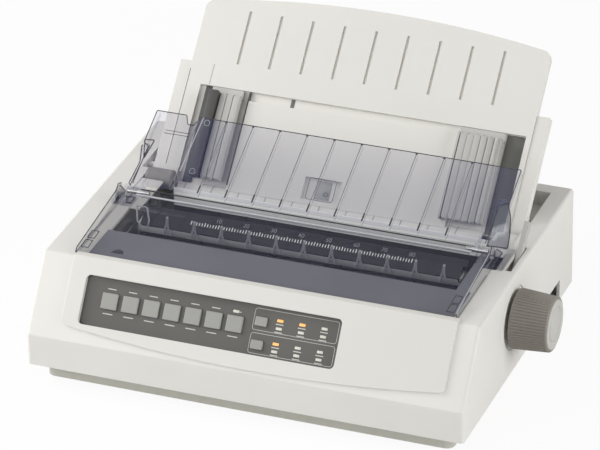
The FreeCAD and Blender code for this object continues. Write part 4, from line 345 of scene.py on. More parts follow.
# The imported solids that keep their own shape, by finish.
SOLIDS: tuple[tuple[Finish, str], ...] = (
    (SHELL, "upper_shell"),
    (PEDESTAL, "lower_case"),
    (RUBBER, "rubber_feet platen_rubber timing_belt bail_rollers"),
    (STEEL, "case_screws guide_rod platen_core motor_pinion line_feed_motor carriage_motor "
            "bail_bar hinge_pins"),
    (BEZEL, "control_bezel"),
    (PANEL, "control_panel"),
    (BOARD, "panel_board main_board"),
    (PLATED, "mechanism_tray side_frame_left side_frame_right front_rail paper_pan "
             "parallel_socket"),
    (PALE, "platen_bushes platen_gear idler_gear drive_pulley idler_pulley"),
    (BLACK, "carriage ribbon_cartridge power_switch power_rocker board_parts power_inlet"),
    (ALLOY, "print_head"),
    (GREY, "ribbon_knob head_gap_lever sheet_guide_left sheet_guide_right"),
    (SCALE_STRIP, "column_scale"),
    (SMOKE, "front_cover"),
    (HAZE, "hinge_stands rear_flap"),
    (SEPARATOR_SHELL, "separator_panel separator_frame"),
    (LEVER, "paper_lever"),
    (CORE, "transformer"),
    (BUTTON, "button_1 button_2 button_3 button_4 button_5 button_6 button_7 "
             "print_quality_button character_pitch_button"))


@dataclass(frozen=True)
class Surface:
    """A sheet or a closed shell: its points, and the four-cornered faces on them."""

    points: Array
    faces: Array

    def __add__(self, other: "Surface") -> "Surface":
        """Joins two surfaces, with the faces of the second renumbered."""
        return Surface(np.concatenate([self.points, other.points]),
                       np.concatenate([self.faces, other.faces + len(self.points)]))

    def shifted(self, *by: float) -> "Surface":
        """Moves every point by x, y and z."""
        return Surface(self.points + np.array(by), self.faces)

    def laid_on(self, plane: Tilt) -> "Surface":
        """Takes the points as across, up and out on a tilted plane."""
        return Surface(plane.placed(self.points), self.faces)


def mesh_piece(name: str, parts: Iterable[Surface], finish: Finish, body: str) -> bpy.types.Object:
    """Makes one named piece of joined surfaces, dresses it and lets it ride on a body.

    Args:
        name: object name.
        parts: its surfaces, in divisions of the case drawing.
        finish: surface finish.
        body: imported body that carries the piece.

    Returns:
        The new object.
    """
    surface = functools.reduce(Surface.__add__, parts)
    mesh = bpy.data.meshes.new(name)
    mesh.from_pydata(row_frame(surface.points), [], surface.faces.tolist())
    made = bpy.data.objects.new(name, mesh)
    bpy.context.scene.collection.objects.link(made)
    welded = bmesh.new()
    welded.from_mesh(mesh)
    bmesh.ops.remove_doubles(welded, verts=welded.verts, dist=WELD)
    bmesh.ops.dissolve_degenerate(welded, edges=welded.edges, dist=WELD)
    bmesh.ops.recalc_face_normals(welded, faces=welded.faces)
    welded.to_mesh(mesh)
    welded.free()
    mesh.shade_smooth()
    mesh.set_sharp_from_angle(angle=SHARP_ANGLE)
    mesh.materials.append(finish.material())
    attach(made, body)
    LOG.info("%s: %d faces on %s", name, len(mesh.polygons), body)
    return made


def grid_faces(rows: int, columns: int) -> Array:
    """Quads of a grid of points numbered row by row, with its last column joined to its first.

    Formula: each face joins (i, j), (i + 1, j), (i + 1, j + 1) and (i, j + 1).

    Args:
        rows: points along the first parameter.
        columns: points along the second.

    Returns:
        (m, 4) indices.
    """
    i = np.arange(rows - 1)[:, None]
    j = np.arange(columns)[None, :]
    beside = (j + 1) % columns
    return np.stack([i * columns + j, (i + 1) * columns + j,
                     (i + 1) * columns + beside, i * columns + beside], axis=-1).reshape(-1, 4)


def lathe(profile: Spots | Array, centre: Spot, steps: int,
          carved: Array | float = 0.0) -> Surface:
    """Turns a profile about an axis along x.

    Formula: (x, r) becomes (x, y0 + r cos t, z0 + r sin t) for t round the circle, with r less
    what is carved away there.

    Args:
        profile: (n, 2) of x and radius.
        centre: y and z of the axis.
        steps: points round the circle.
        carved: (n, steps) of how deep the surface is cut, or one depth.

    Returns:
        The turned surface.
    """
    profile = np.asarray(profile, dtype=float)
    turn = np.linspace(0, 2 * np.pi, steps, endpoint=False)[None, :]
    x, radius = profile[:, :1], profile[:, 1:] - carved
    points = np.stack(np.broadcast_arrays(
        x, centre[0] + radius * np.cos(turn), centre[1] + radius * np.sin(turn)), axis=-1)
    return Surface(points.reshape(-1, 3), grid_faces(len(profile), steps))


def stacked(loops: Array, levels: Array) -> Surface:
    """A surface through closed loops that lie at one level each.

    Formula: ring i is loop i, with level i as its third coordinate.

    Args:
        loops: (m, n, 2) points.
        levels: (m,) levels.

    Returns:
        The surface.
    """
    rise = np.broadcast_to(np.asarray(levels)[:, None, None], (*loops.shape[:2], 1))
    points = np.concatenate([loops, rise], axis=-1)
    return Surface(points.reshape(-1, 3), grid_faces(*loops.shape[:2]))


def rounded_loop(wide: float, tall: float, radius: float, steps: int = 5) -> Array:
    """Corner-rounded rectangle about the origin, counted anticlockwise.

    Formula: each corner is an arc of the radius about its own centre.

    Args:
        wide: full width.
        tall: full height.
        radius: corner radius.
        steps: points in each corner.

    Returns:
        (4 * steps, 2) points.
    """
    turn = np.linspace(0, np.pi / 2, steps)[None, :] + (np.arange(4) * np.pi / 2)[:, None]
    sign_x = np.array([1, -1, -1, 1])[:, None]
    sign_y = np.array([1, 1, -1, -1])[:, None]
    x = sign_x * (wide / 2 - radius) + radius * np.cos(turn)
    y = sign_y * (tall / 2 - radius) + radius * np.sin(turn)
    return np.stack([x, y], axis=-1).reshape(-1, 2)


def inset(loop: Array, step: float) -> Array:
    """Draws every point of a loop in towards its middle.

    Formula: c + (p - c) (1 - step / |p - c|).

    Args:
        loop: (n, 2) points.
        step: how far each point moves.

    Returns:
        The smaller loop.
    """
    centre = loop.mean(axis=0)
    reach = np.linalg.norm(loop - centre, axis=1, keepdims=True)
    return centre + (loop - centre) * (1 - step / reach)


def pillow(loop: Spots | Array, low: float, high: float, edge: float,
           rings: int = 4) -> Surface:
    """A closed raised pad on a loop, with a rounded upper edge.

    Formula: rings rise from low to high - edge, then follow a quarter circle inwards; the first
    and the last ring are drawn in to the middle. The third coordinate is the height.

    Args:
        loop: (n, 2) outline.
        low: height of the foot.
        high: height of the top.
        edge: radius of the rounded edge.
        rings: rings in the rounded edge.

    Returns:
        The pad.
    """
    loop = np.asarray(loop, dtype=float)
    turn = np.linspace(0, np.pi / 2, rings)
    centre = np.broadcast_to(loop.mean(axis=0), loop.shape)
    flat = np.stack([centre, loop, *(inset(loop, edge * (1 - math.cos(t))) for t in turn), centre])
    return stacked(flat, np.concatenate([
        [low, low], high - edge + edge * np.sin(turn), [high]]))


def beam(outline: Spots | Array, left: float, right: float, edge: float) -> Surface:
    """A bar along x with a convex outline of y and z, and softened ends.

    Formula: the outline is repeated at both ends and once more, drawn in by the edge.

    Args:
        outline: (n, 2) of y and z.
        left: lowest x.
        right: highest x.
        edge: how far the ends are softened.

    Returns:
        The closed bar.
    """
    loop = np.asarray(outline, dtype=float)
    middle = np.broadcast_to(loop.mean(axis=0), loop.shape)
    small = inset(loop, edge)
    bar = stacked(np.stack([middle, small, loop, loop, small, middle]),
                  np.array([left, left, left + edge, right - edge, right, right]))
    return Surface(np.roll(bar.points, 1, axis=1), bar.faces)


def bent(corners: Iterable[Point], radius: float) -> Array:
    """A path through corners, each cut off by a smooth bend.

    Formula: at a corner p between a and b the bend is the quadratic curve
    (1 - t)^2 a' + 2 t (1 - t) p + t^2 b', with a' and b' one radius from p.

    Args:
        corners: the ends and the corners between them.
        radius: how far from a corner its bend starts.

    Returns:
        The points of the path.
    """
    ends = np.array(list(corners), dtype=float)
    t = np.linspace(0, 1, BEND_POINTS)[:, None]
    rows = [ends[:1]]
    for before, corner, after in zip(ends[:-2], ends[1:-1], ends[2:]):
        near = corner + (before - corner) * min(radius / np.linalg.norm(before - corner), 0.5)
        far = corner + (after - corner) * min(radius / np.linalg.norm(after - corner), 0.5)
        rows.append((1 - t) ** 2 * near + 2 * t * (1 - t) * corner + t ** 2 * far)
    return np.concatenate([*rows, ends[-1:]])


def tube(path: Array, radius: float, sides: int = WIRE_SIDES) -> Surface:
    """A round wire along a path, closed at both ends.

    Formula: each ring is p + r (n cos t + b sin t), where n and b are square to the path there.

    Args:
        path: (n, 3) points.
        radius: radius of the wire.
        sides: points round it.

    Returns:
        The wire.
    """
    along = np.gradient(path, axis=0)
    along /= np.linalg.norm(along, axis=1, keepdims=True)
    guide = np.eye(3)[np.argmin(np.abs(along).max(axis=0))]
    side = np.cross(along, guide)
    side /= np.linalg.norm(side, axis=1, keepdims=True)
    other = np.cross(along, side)
    turn = np.linspace(0, 2 * np.pi, sides, endpoint=False)[None, :, None]
    rings = path[:, None] + radius * (side[:, None] * np.cos(turn) + other[:, None] * np.sin(turn))
    ends = [np.broadcast_to(p, (1, sides, 3)) for p in (path[0], path[-1])]
    rings = np.concatenate([ends[0], rings, ends[1]])
    return Surface(rings.reshape(-1, 3), grid_faces(len(rings), sides))


def drawn(plane: Tilt, path: Array, out: float, radius: float) -> Surface:
    """A fine wire along a flat path on a tilted plane.

    Formula: each (across, up) becomes (across, up, out) of the plane, and a tube follows these.

    Args:
        plane: the tilted plane.
        path: (n, 2) points across and up it.
        out: their distance out of it.
        radius: radius of the wire.

    Returns:
        The wire.
    """
    rows = np.concatenate([path, np.full((len(path), 1), out)], axis=-1)
    return tube(plane.placed(rows), radius, FINE_SIDES)


@dataclass(frozen=True)
class Line:
    """A wire through corners, with each corner bent."""

    corners: Iterable[Point]
    radius: float
    bend: float = 1.5

    def on(self, plane: Tilt = LEVEL) -> Surface:
        """Makes the wire on a plane."""
        return tube(plane.placed(bent(self.corners, self.bend)), self.radius)


@dataclass(frozen=True)
class Block:
    """A block between two opposite corners, with its edges rounded."""

    low: Point
    high: Point
    edge: float

    def on(self, plane: Tilt = LEVEL) -> Surface:
        """Lays the block on a plane.

        Formula: a corner-rounded rectangle of the last two axes, carried along the first.

        Args:
            plane: the plane that the corners are given on.

        Returns:
            The closed block.
        """
        (left, low_y, low_z), (right, high_y, high_z) = self.low, self.high
        loop = rounded_loop(high_y - low_y, high_z - low_z, self.edge,
                            BLOCK_EDGE_POINTS)
        loop = loop + np.array([(low_y + high_y) / 2, (low_z + high_z) / 2])
        return beam(loop, left, right, self.edge).laid_on(plane)


@dataclass(frozen=True)
class Bar:
    """A straight mark that is repeated across a plane, such as a tick or a rib's line.

    It is twice half wide, runs from low to high up the plane, and lies from sunk below a face to
    proud above it.
    """

    half: float
    low: float
    high: float
    sunk: float
    proud: float
    edge: float = 0.1

    def on(self, plane: Tilt, x: float, face: float) -> Surface:
        """Makes one bar about x, on a face that lies so far out of the plane."""
        return Block((x - self.half, self.low, face - self.sunk),
                     (x + self.half, self.high, face + self.proud), self.edge).on(plane)


@dataclass
class Viewpoint:
    """The photograph's camera: where it looks, how it rolls and how long its lens is."""

    azimuth: float = 21.231
    elevation: float = 28.53
    roll: float = 0.791
    distance: float = 3612.353
    focal_pixels: float = 4470.442
    middle: Spot = (299.362, 225.165)
    aim: Point = (0.0, 150.0, 60.0)
    aim_right: float = -7.157
    aim_up: float = 34.149
    image: tuple[int, int] = (600, 450)
    sensor: float = 36.0
    clip: Spot = (0.1, 20.0)

    def build(self) -> None:
        """Makes the camera and gives it to the scene."""
        azimuth, elevation, roll = (math.radians(a) for a in (
            self.azimuth, self.elevation, self.roll))
        back = Vector((math.sin(azimuth) * math.cos(elevation),
                       -math.cos(azimuth) * math.cos(elevation), math.sin(elevation)))
        right = Vector((math.cos(azimuth), math.sin(azimuth), 0.0))
        up = back.cross(right)
        rolled_right = right * math.cos(roll) - up * math.sin(roll)
        rolled_up = right * math.sin(roll) + up * math.cos(roll)
        target = Vector(row_frame(self.aim)) + (
            right * self.aim_right + up * self.aim_up) * DIVISION
        data = bpy.data.cameras.new("camera")
        data.sensor_width = self.sensor
        data.lens = self.focal_pixels * self.sensor / self.image[0]
        data.shift_x = (self.image[0] / 2 - self.middle[0]) / self.image[0]
        data.shift_y = (self.middle[1] - self.image[1] / 2) / self.image[0]
        data.clip_start, data.clip_end = self.clip
        camera = bpy.data.objects.new("camera", data)
        turn = Matrix((rolled_right, rolled_up, back)).transposed().to_4x4()
        camera.matrix_world = Matrix.Translation(
            target + back * self.distance * DIVISION) @ turn
        bpy.context.scene.collection.objects.link(camera)
        bpy.context.scene.camera = camera


@dataclass
class Studio:
    """A pale floor, a white surround and soft lamps, each with its place, size and power."""

    floor_size: float = 8.0
    floor_tone: float = 0.86
    floor_roughness: float = 0.9
    floor_specular: float = 0.1
    floor_seen_white: float = 0.93
    lamps: tuple[tuple[Point, float, float], ...] = (
        ((-0.9, -1.4, 0.9), 1.2, 7.8), ((2.0, -0.2, 0.8), 1.2, 21.0),
        ((-1.9, -0.3, 1.2), 1.2, 29.7), ((0.1, -0.8, 0.6), 0.6, 0.6))
    sky: float = 0.3

    def build(self) -> None:
        """Makes the floor, the world and the lamps."""
        half = self.floor_size / 2
        mesh = bpy.data.meshes.new("studio_floor")
        mesh.from_pydata([(-half, -half, 0), (half, -half, 0), (half, half, 0), (-half, half, 0)],
                         [], [(0, 1, 2, 3)])
        floor = bpy.data.objects.new("studio_floor", mesh)
        floor.data.materials.append(self._floor_material())
        bpy.context.scene.collection.objects.link(floor)
        self._world()
        for index, (place, size, power) in enumerate(self.lamps):
            data = bpy.data.lights.new(f"lamp_{index}", "AREA")
            data.shape = "DISK"
            data.size = size
            data.energy = power
            lamp = bpy.data.objects.new(f"lamp_{index}", data)
            lamp.matrix_world = Matrix.Translation(place) @ Vector(place).to_track_quat(
                "Z", "Y").to_matrix().to_4x4()
            bpy.context.scene.collection.objects.link(lamp)
        bpy.context.scene.view_settings.view_transform = "Standard"

    def _floor_material(self) -> bpy.types.Material:
        """Dresses the floor, which keeps the object's shadow but is seen as near white.

        Returns:
            The floor's material.
        """
        made = bpy.data.materials.new("pale_floor")
        made.use_nodes = True
        tree = made.node_tree
        shader = tree.nodes["Principled BSDF"]
        shader.inputs["Base Color"].default_value = (*(self.floor_tone,) * 3, 1.0)
        shader.inputs["Roughness"].default_value = self.floor_roughness
        shader.inputs["Specular IOR Level"].default_value = self.floor_specular
        white = tree.nodes.new("ShaderNodeEmission")
        white.inputs["Color"].default_value = WHITE
        shown_to(tree, ("Is Camera Ray", "Is Transmission Ray"), self.floor_seen_white, shader,
                 white, "Material Output")
        return made

    def _world(self) -> None:
        """Makes a surround that is seen white and lights softly."""
        world = bpy.data.worlds.new("surround")
        world.use_nodes = True
        tree = world.node_tree
        light = tree.nodes["Background"]
        seen = tree.nodes.new("ShaderNodeBackground")
        for shade, strength in ((light, self.sky), (seen, 1.0)):
            shade.inputs["Color"].default_value = WHITE
            shade.inputs["Strength"].default_value = strength
        shown_to(tree, ("Is Camera Ray", "Is Glossy Ray", "Is Transmission Ray"), 1.0, light,
                 seen, "World Output")
        bpy.context.scene.world = world


class CadDress:
    """Gives every carried-over solid its own finish."""

    def build(self) -> None:
        """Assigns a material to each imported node's slots."""
        for finish, names in SOLIDS:
            for name in names.split():
                solid = bpy.data.objects.get(name)
                if solid is None:
                    raise KeyError(name)
                if not solid.material_slots:
                    solid.data.materials.append(finish.material())
                for holder in solid.material_slots:
                    holder.material = finish.material()
            LOG.info("%s on %s", finish.name, names)


@dataclass
class PlatenKnob:
    """The tapered hand knob with fine flutes and a pale cap.

    A profile is rows of x, counted from the inner end of the knob, and radius.
    """

    start: float = 186.0
    axis: Spot = (123.0, 63.0)
    foot: Spots = (
        (27.5, 4.0), (27.5, 8.0), (0.0, 8.0), (0.0, 21.2), (0.0, 23.7), (0.25, 24.25), (0.8, 24.5))
    flank: tuple[Spot, Spot] = ((1.6, 24.5), (29.4, 22.6))
    flank_rings: int = 12
    tip: Spots = (
        (30.4, 22.5), (31.1, 21.9), (31.4, 21.1), (31.4, 20.6), (30.0, 20.5), (30.0, 4.0))
    cap: Spots = (
        (30.0, 0.01), (30.0, 20.45), (31.3, 20.45), (31.75, 20.2), (32.0, 19.6), (32.0, 15.0),
        (31.8, 14.7), (31.4, 14.5), (31.4, 13.9), (31.8, 13.7), (32.0, 13.4), (32.0, 6.0),
        (32.0, 0.01))
    flutes: int = 60
    flute_depth: float = 0.55
    flute_steep: float = 1.4
    around: int = 480
    cap_around: int = 96
    body: str = "platen_body"

    def build(self) -> None:
        """Makes the fluted skin and the cap with its shallow ring.

        Formula: a flute's depth follows -cos of the turn, held between nothing and full depth.
        """
        profile = np.concatenate([self.foot, np.linspace(*self.flank, self.flank_rings), self.tip])
        turn = np.linspace(0, 2 * np.pi, self.around, endpoint=False)
        groove = self.flute_depth * np.clip(
            -self.flute_steep * np.cos(turn * self.flutes), 0.0, 1.0)
        row = np.arange(len(profile)) - len(self.foot)
        fluted = (row >= 0) & (row < self.flank_rings)
        skin = lathe(profile, self.axis, self.around, fluted[:, None] * groove)
        knob = mesh_piece("knob_skin", [skin.shifted(self.start, 0.0, 0.0)], KNOB, self.body)
        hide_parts("platen_knob")
        disc = lathe(self.cap, self.axis, self.cap_around)
        cap = mesh_piece("knob_cap_disc", [disc.shifted(self.start, 0.0, 0.0)], CAP, self.body)
        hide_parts("knob_cap")


@dataclass
class ControlPanel:
    """Lights, pale outlines and the small generic bars printed on the dark panel.

    Places are across and up the slope. A frame is its left, lower, right and upper edge.
    """

    plate_level: float = -2.5
    light_columns: tuple[float, ...] = (22.5, 41.0, 59.5)
    light_rows: tuple[float, ...] = (45.8, 39.5, 27.3, 21.2)
    lone_light: Spot = (-14.8, 47.3)
    lit: Spots = ((22.5, 45.8), (41.0, 45.8), (22.5, 27.3))
    lens: Point = (5.0, 2.2, 0.5)
    lens_high: float = 0.4
    lens_edge: float = 0.25
    frames: tuple[tuple[float, float, float, float], ...] = (
        (0.5, 35.6, 71.0, 53.2), (0.5, 17.2, 71.0, 33.6))
    frame_corner: float = 2.2
    frame_line: float = 0.35
    frame_steps: int = 6
    print_high: float = 0.08
    button_first: float = -120.3
    button_pitch: float = 17.7
    button_count: int = 7
    button_bars: Spots = ((47.2, 7.0), (27.2, 8.5))
    light_bar_drop: float = 2.9
    light_bar_wide: float = 6.5
    bar_tall: float = 0.75
    bar_corner: float = 0.2
    bar_steps: int = 3
    bar_edge: float = 0.03
    bar_rings: int = 2
    body: str = "case_body"

    def build(self) -> None:
        """Makes the lights and what is printed on the panel."""
        grid = [(x, v) for x in self.light_columns for v in self.light_rows]
        lens = pillow(rounded_loop(*self.lens), 0.0, self.lens_high, self.lens_edge)
        for name, finish, wanted in (("lights_lit", LIGHT_ON, True),
                                     ("lights_unlit", LIGHT_OFF, False)):
            parts = [self._on_plate(lens, *spot) for spot in (*grid, self.lone_light)
                     if (spot in self.lit) is wanted]
            piece = mesh_piece(name, parts, finish, self.body)
            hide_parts("panel_lights")
        frames = [self._outline(*edges) for edges in self.frames]
        mesh_piece("panel_outlines", frames, PANEL_LINE, self.body)
        bars = [(self.button_first + self.button_pitch * index, v, wide)
                for v, wide in self.button_bars for index in range(self.button_count)]
        bars += [(x, v - self.light_bar_drop, self.light_bar_wide) for x, v in grid]
        parts = []
        for x, v, wide in bars:
            loop = rounded_loop(wide, self.bar_tall, self.bar_corner, self.bar_steps)
            bar = pillow(loop, 0.0, self.print_high, self.bar_edge, self.bar_rings)
            parts.append(self._on_plate(bar, x, v))
        mesh_piece("panel_bars", parts, PANEL_LINE, self.body)

    def _on_plate(self, surface: Surface, x: float, v: float) -> Surface:
        """Lays a surface on the dark plate, about one place."""
        return surface.shifted(x, v, self.plate_level).laid_on(SLOPE)

    def _outline(self, left: float, low: float, right: float, high: float) -> Surface:
        """Makes one printed frame.

        Formula: an outer and an inner corner-rounded rectangle, joined below and above.

        Args:
            left: lowest place across.
            low: lowest place up.
            right: highest place across.
            high: highest place up.

        Returns:
            The frame, laid on the plate.
        """
        wide, tall, line = right - left, high - low, self.frame_line
        outer = rounded_loop(wide, tall, self.frame_corner, self.frame_steps)
        inner = rounded_loop(wide - 2 * line, tall - 2 * line, self.frame_corner - line,
                             self.frame_steps)
        printed = stacked(np.stack([outer, outer, inner, inner, outer]),
                          self.print_high * np.array([0.0, 1.0, 1.0, 0.0, 0.0]))
        return self._on_plate(printed, (left + right) / 2, (low + high) / 2)


@dataclass
class ColumnScale:
    """The smoked paper scale, its white ticks with a painted glow, plain numbers and the bail's
    pale face.
    """

    middle: float = 3.6
    pitch: float = 2.352
    columns: int = 80
    face: float = 1.2
    strip: Block = Block((-134.0, 5.8, 0.2), (144.0, 12.6, 1.15), 0.3)
    tick: Bar = Bar(0.36, 1.3, 4.2, 0.2, 0.12, 0.05)
    long_tick: Bar = Bar(0.36, 1.3, 4.9, 0.2, 0.12, 0.05)
    long_every: int = 5
    tick_shift: float = 1.4
    number_every: int = 10
    number_low: float = 6.9
    number_size: float = 5.4
    number_thick: float = 0.05
    bail_face: Block = Block((-131.0, 109.8, 90.4), (141.0, 110.6, 95.6), 0.2)
    body: str = "bail_body"

    def build(self) -> None:
        """Makes the strip, the ticks and the numbers and lays them on the scale's plane."""
        mesh_piece("scale_window", [self.strip.on(SCALE)], SCALE_STRIP, self.body)
        ticks = [(self.tick if index % self.long_every else self.long_tick).on(
            SCALE, self._place(index) + self.tick_shift, self.face)
                 for index in range(self.columns + 1)]
        mesh_piece("scale_ticks", ticks, TICK, self.body)
        mesh_piece("bail_face_strip", [self.bail_face.on()], STRIP, self.body)
        for number in range(self.number_every, self.columns + 1, self.number_every):
            self._number(number)

    def _place(self, column: int) -> float:
        """Finds where a column stands across the strip."""
        return self.middle + (column - self.columns / 2) * self.pitch

    def _number(self, number: int) -> None:
        """Makes one plain number, first as text and then as a mesh on the strip.

        Args:
            number: what it says, which is also its column.
        """
        curve = bpy.data.curves.new(f"scale_{number}_text", "FONT")
        curve.body = str(number)
        curve.size = self.number_size
        curve.extrude = self.number_thick
        curve.align_x = "CENTER"
        text = bpy.data.objects.new(f"scale_{number}_text", curve)
        bpy.context.scene.collection.objects.link(text)
        bpy.context.view_layer.update()
        mesh = bpy.data.meshes.new_from_object(text)
        bpy.data.objects.remove(text)
        flat = np.empty(len(mesh.vertices) * 3)
        mesh.vertices.foreach_get("co", flat)
        rows = flat.reshape(-1, 3) + (self._place(number), self.number_low, self.face)
        mesh.vertices.foreach_set("co", row_frame(SCALE.placed(rows)).ravel())
        mesh.update()
        made = bpy.data.objects.new(f"scale_number_{number}", mesh)
        bpy.context.scene.collection.objects.link(made)
        mesh.materials.clear()
        mesh.materials.append(NUMBER.material())
        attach(made, self.body)


@dataclass
class CoverTrim:
    """Fingers, wings, edges, gleams, hinge line and corner pads of the tinted front cover.

    The edges and the pads' outlines are dark wires of painted shade, the gleams are pale wires of
    painted highlight, and the hinge line is a black wire of painted shadow.

    The edges, outlines and feet are y and z, and half widths are counted from the middle. A
    finger's rows are its shift along x, its spread to each side, y and z. A side is its sign,
    the wing's lowest x and the y at which the fixed heel below it ends.
    """

    middle: float = 2.5
    front_half: float = 159.5
    front: Spot = (44.5, 104.2)
    rear: Spot = (126.5, 114.5)
    foot_half: float = 160.5
    foot_front: Spot = (44.5, 99.9)
    foot_rear: Spot = (116.0, 101.0)
    first_finger: float = -105.8
    finger: tuple[tuple[float, float, float, float], ...] = (
        (2.6, 0.0, 104.0, 110.6), (1.0, 0.7, 105.6, 101.5), (0.0, 2.8, 107.8, 93.2))
    finger_radius: float = 0.95
    sides: tuple[tuple[int, float, float], ...] = ((-1, -157.9, 150.0), (1, 160.9, 154.0))
    wing: Spots = (
        (126.3, 103.0), (126.3, 114.5), (131.6, 118.0), (138.0, 115.4), (141.5, 108.5),
        (136.5, 102.6))
    heel: Spots = ((127.0, 101.6), (134.0, 113.5), (139.0, 112.5))
    heel_low: float = 101.6
    heel_offset: float = 1.8
    thick: float = 1.0
    soft_edge: float = 0.2
    rim_radius: float = 0.42
    heel_rim_radius: float = 0.4
    foot_line_radius: float = 0.2
    foot_line_lift: float = 0.1
    # The gleams are pale wires of painted highlight on the right crease, along the rear edge and
    # round a clip at the left hinge.
    gleams: tuple[Line, ...] = (
        Line(((162.0, 44.5, 104.3), (161.5, 126.5, 114.6)), 0.5),
        Line(((-139.0, 125.4, 114.2), (147.0, 125.4, 114.2)), 0.9),
        Line(((-136.5, 120.0, 107.0), (-127.5, 120.0, 107.5), (-121.8, 110.5, 100.2),
              (-125.0, 110.0, 92.0), (-132.2, 110.5, 98.2), (-136.5, 120.0, 107.0)), 0.7, 2.0))
    # A black wire of painted shadow in the gap between the cover and the flap at the hinge.
    painted_hinge_shadow: Line = Line(((-139.0, 135.0, 114.1), (147.0, 135.0, 113.4)), 0.55)
    pads: Spots = ((-151.0, 51.5), (-151.0, 64.5), (157.0, 50.5), (157.0, 62.0))
    pad_half: Point = (3.0, 5.0, 0.6)
    pad_lift: float = 0.15
    pad_radius: float = 0.35
    pad_bend: float = 0.6
    body: str = "front_cover_body"

    def build(self) -> None:
        """Makes every piece of the trim."""
        places = self.first_finger + RIB_PITCH * np.arange(RIB_COUNT)
        fingers = [Line([(x + shift + side * spread, y, z) for shift, spread, y, z in self.finger],
                        self.finger_radius).on() for x in places for side in (-1, 1)]
        mesh_piece("paper_fingers", fingers, CLEAR_RIB, self.body)
        self._sides()
        mesh_piece("cover_gleams", [line.on() for line in self.gleams], PAINTED_EDGE_HIGHLIGHT, self.body)
        mesh_piece("hinge_shadow_line", [self.painted_hinge_shadow.on()], BLACK, self.body)
        mesh_piece("cover_corner_pads", [self._pad(*spot) for spot in self.pads], PAINTED_EDGE_SHADE,
                   self.body)

    def _sides(self) -> None:
        """Makes the wings and the heels of both hinges, and the dark edges of painted shade that
        end in them.

        A rim follows its heel's base and back, and a cover's edge ends over the wing's crest.
        """
        foot_y, foot_z = self.foot_front
        wings, heels, rims = [], [], []
        dark = [Line([(self.middle + side * self.foot_half, foot_y, foot_z + self.foot_line_lift)
                      for side in (-1, 1)], self.foot_line_radius).on()]
        for side, near, heel_end in self.sides:
            foot = (self.middle + side * self.foot_half, foot_y, foot_z)
            edge_x = self.middle + side * self.front_half
            wing_x = near + self.thick / 2
            heel_x = wing_x + side * self.heel_offset
            heel = np.array([*self.heel, (heel_end, self.heel_low)])
            wings.append(beam(self.wing, near, near + self.thick, self.soft_edge))
            heels.append(beam(heel, heel_x - self.thick / 2, heel_x + self.thick / 2,
                              self.soft_edge))
            rims.append(Line([(heel_x, *heel[index]) for index in (0, 3, 2)],
                             self.heel_rim_radius).on())
            dark.append(Line([foot, (edge_x, *self.front), (edge_x, *self.rear),
                              (wing_x, *self.wing[2]), (wing_x, *self.wing[3])],
                             self.rim_radius).on())
            dark.append(Line([foot, (foot[0], *self.foot_rear)], self.foot_line_radius).on())
        for name, parts, finish, body in (
                ("hinge_heels", heels, SMOKE, "case_body"),
                ("hinge_heel_rims", rims, PAINTED_EDGE_SHADE, "case_body"),
                ("cover_wings", wings, SMOKE, self.body),
                ("cover_edges", dark, PAINTED_EDGE_SHADE, self.body)):
            mesh_piece(name, parts, finish, body)

    def _pad(self, x: float, y: float) -> Surface:
        """Makes one pressed outline on the cover's sloping face, as a dark wire of painted shade.

        Formula: a rectangle about (x, y) at the height of the line from the front to the rear edge.

        Args:
            x: its middle across.
            y: its middle from front to back.

        Returns:
            The outline.
        """
        (front_y, front_z), (rear_y, rear_z) = self.front, self.rear
        z = front_z + (y - front_y) * (rear_z - front_z) / (rear_y - front_y) + self.pad_lift
        half_x, half_y, rise = self.pad_half
        return Line([(x + i * half_x, y + j * half_y, z + j * rise)
                     for i, j in ((-1, -1), (1, -1), (1, 1), (-1, 1), (-1, -1))],
                    self.pad_radius, self.pad_bend).on()


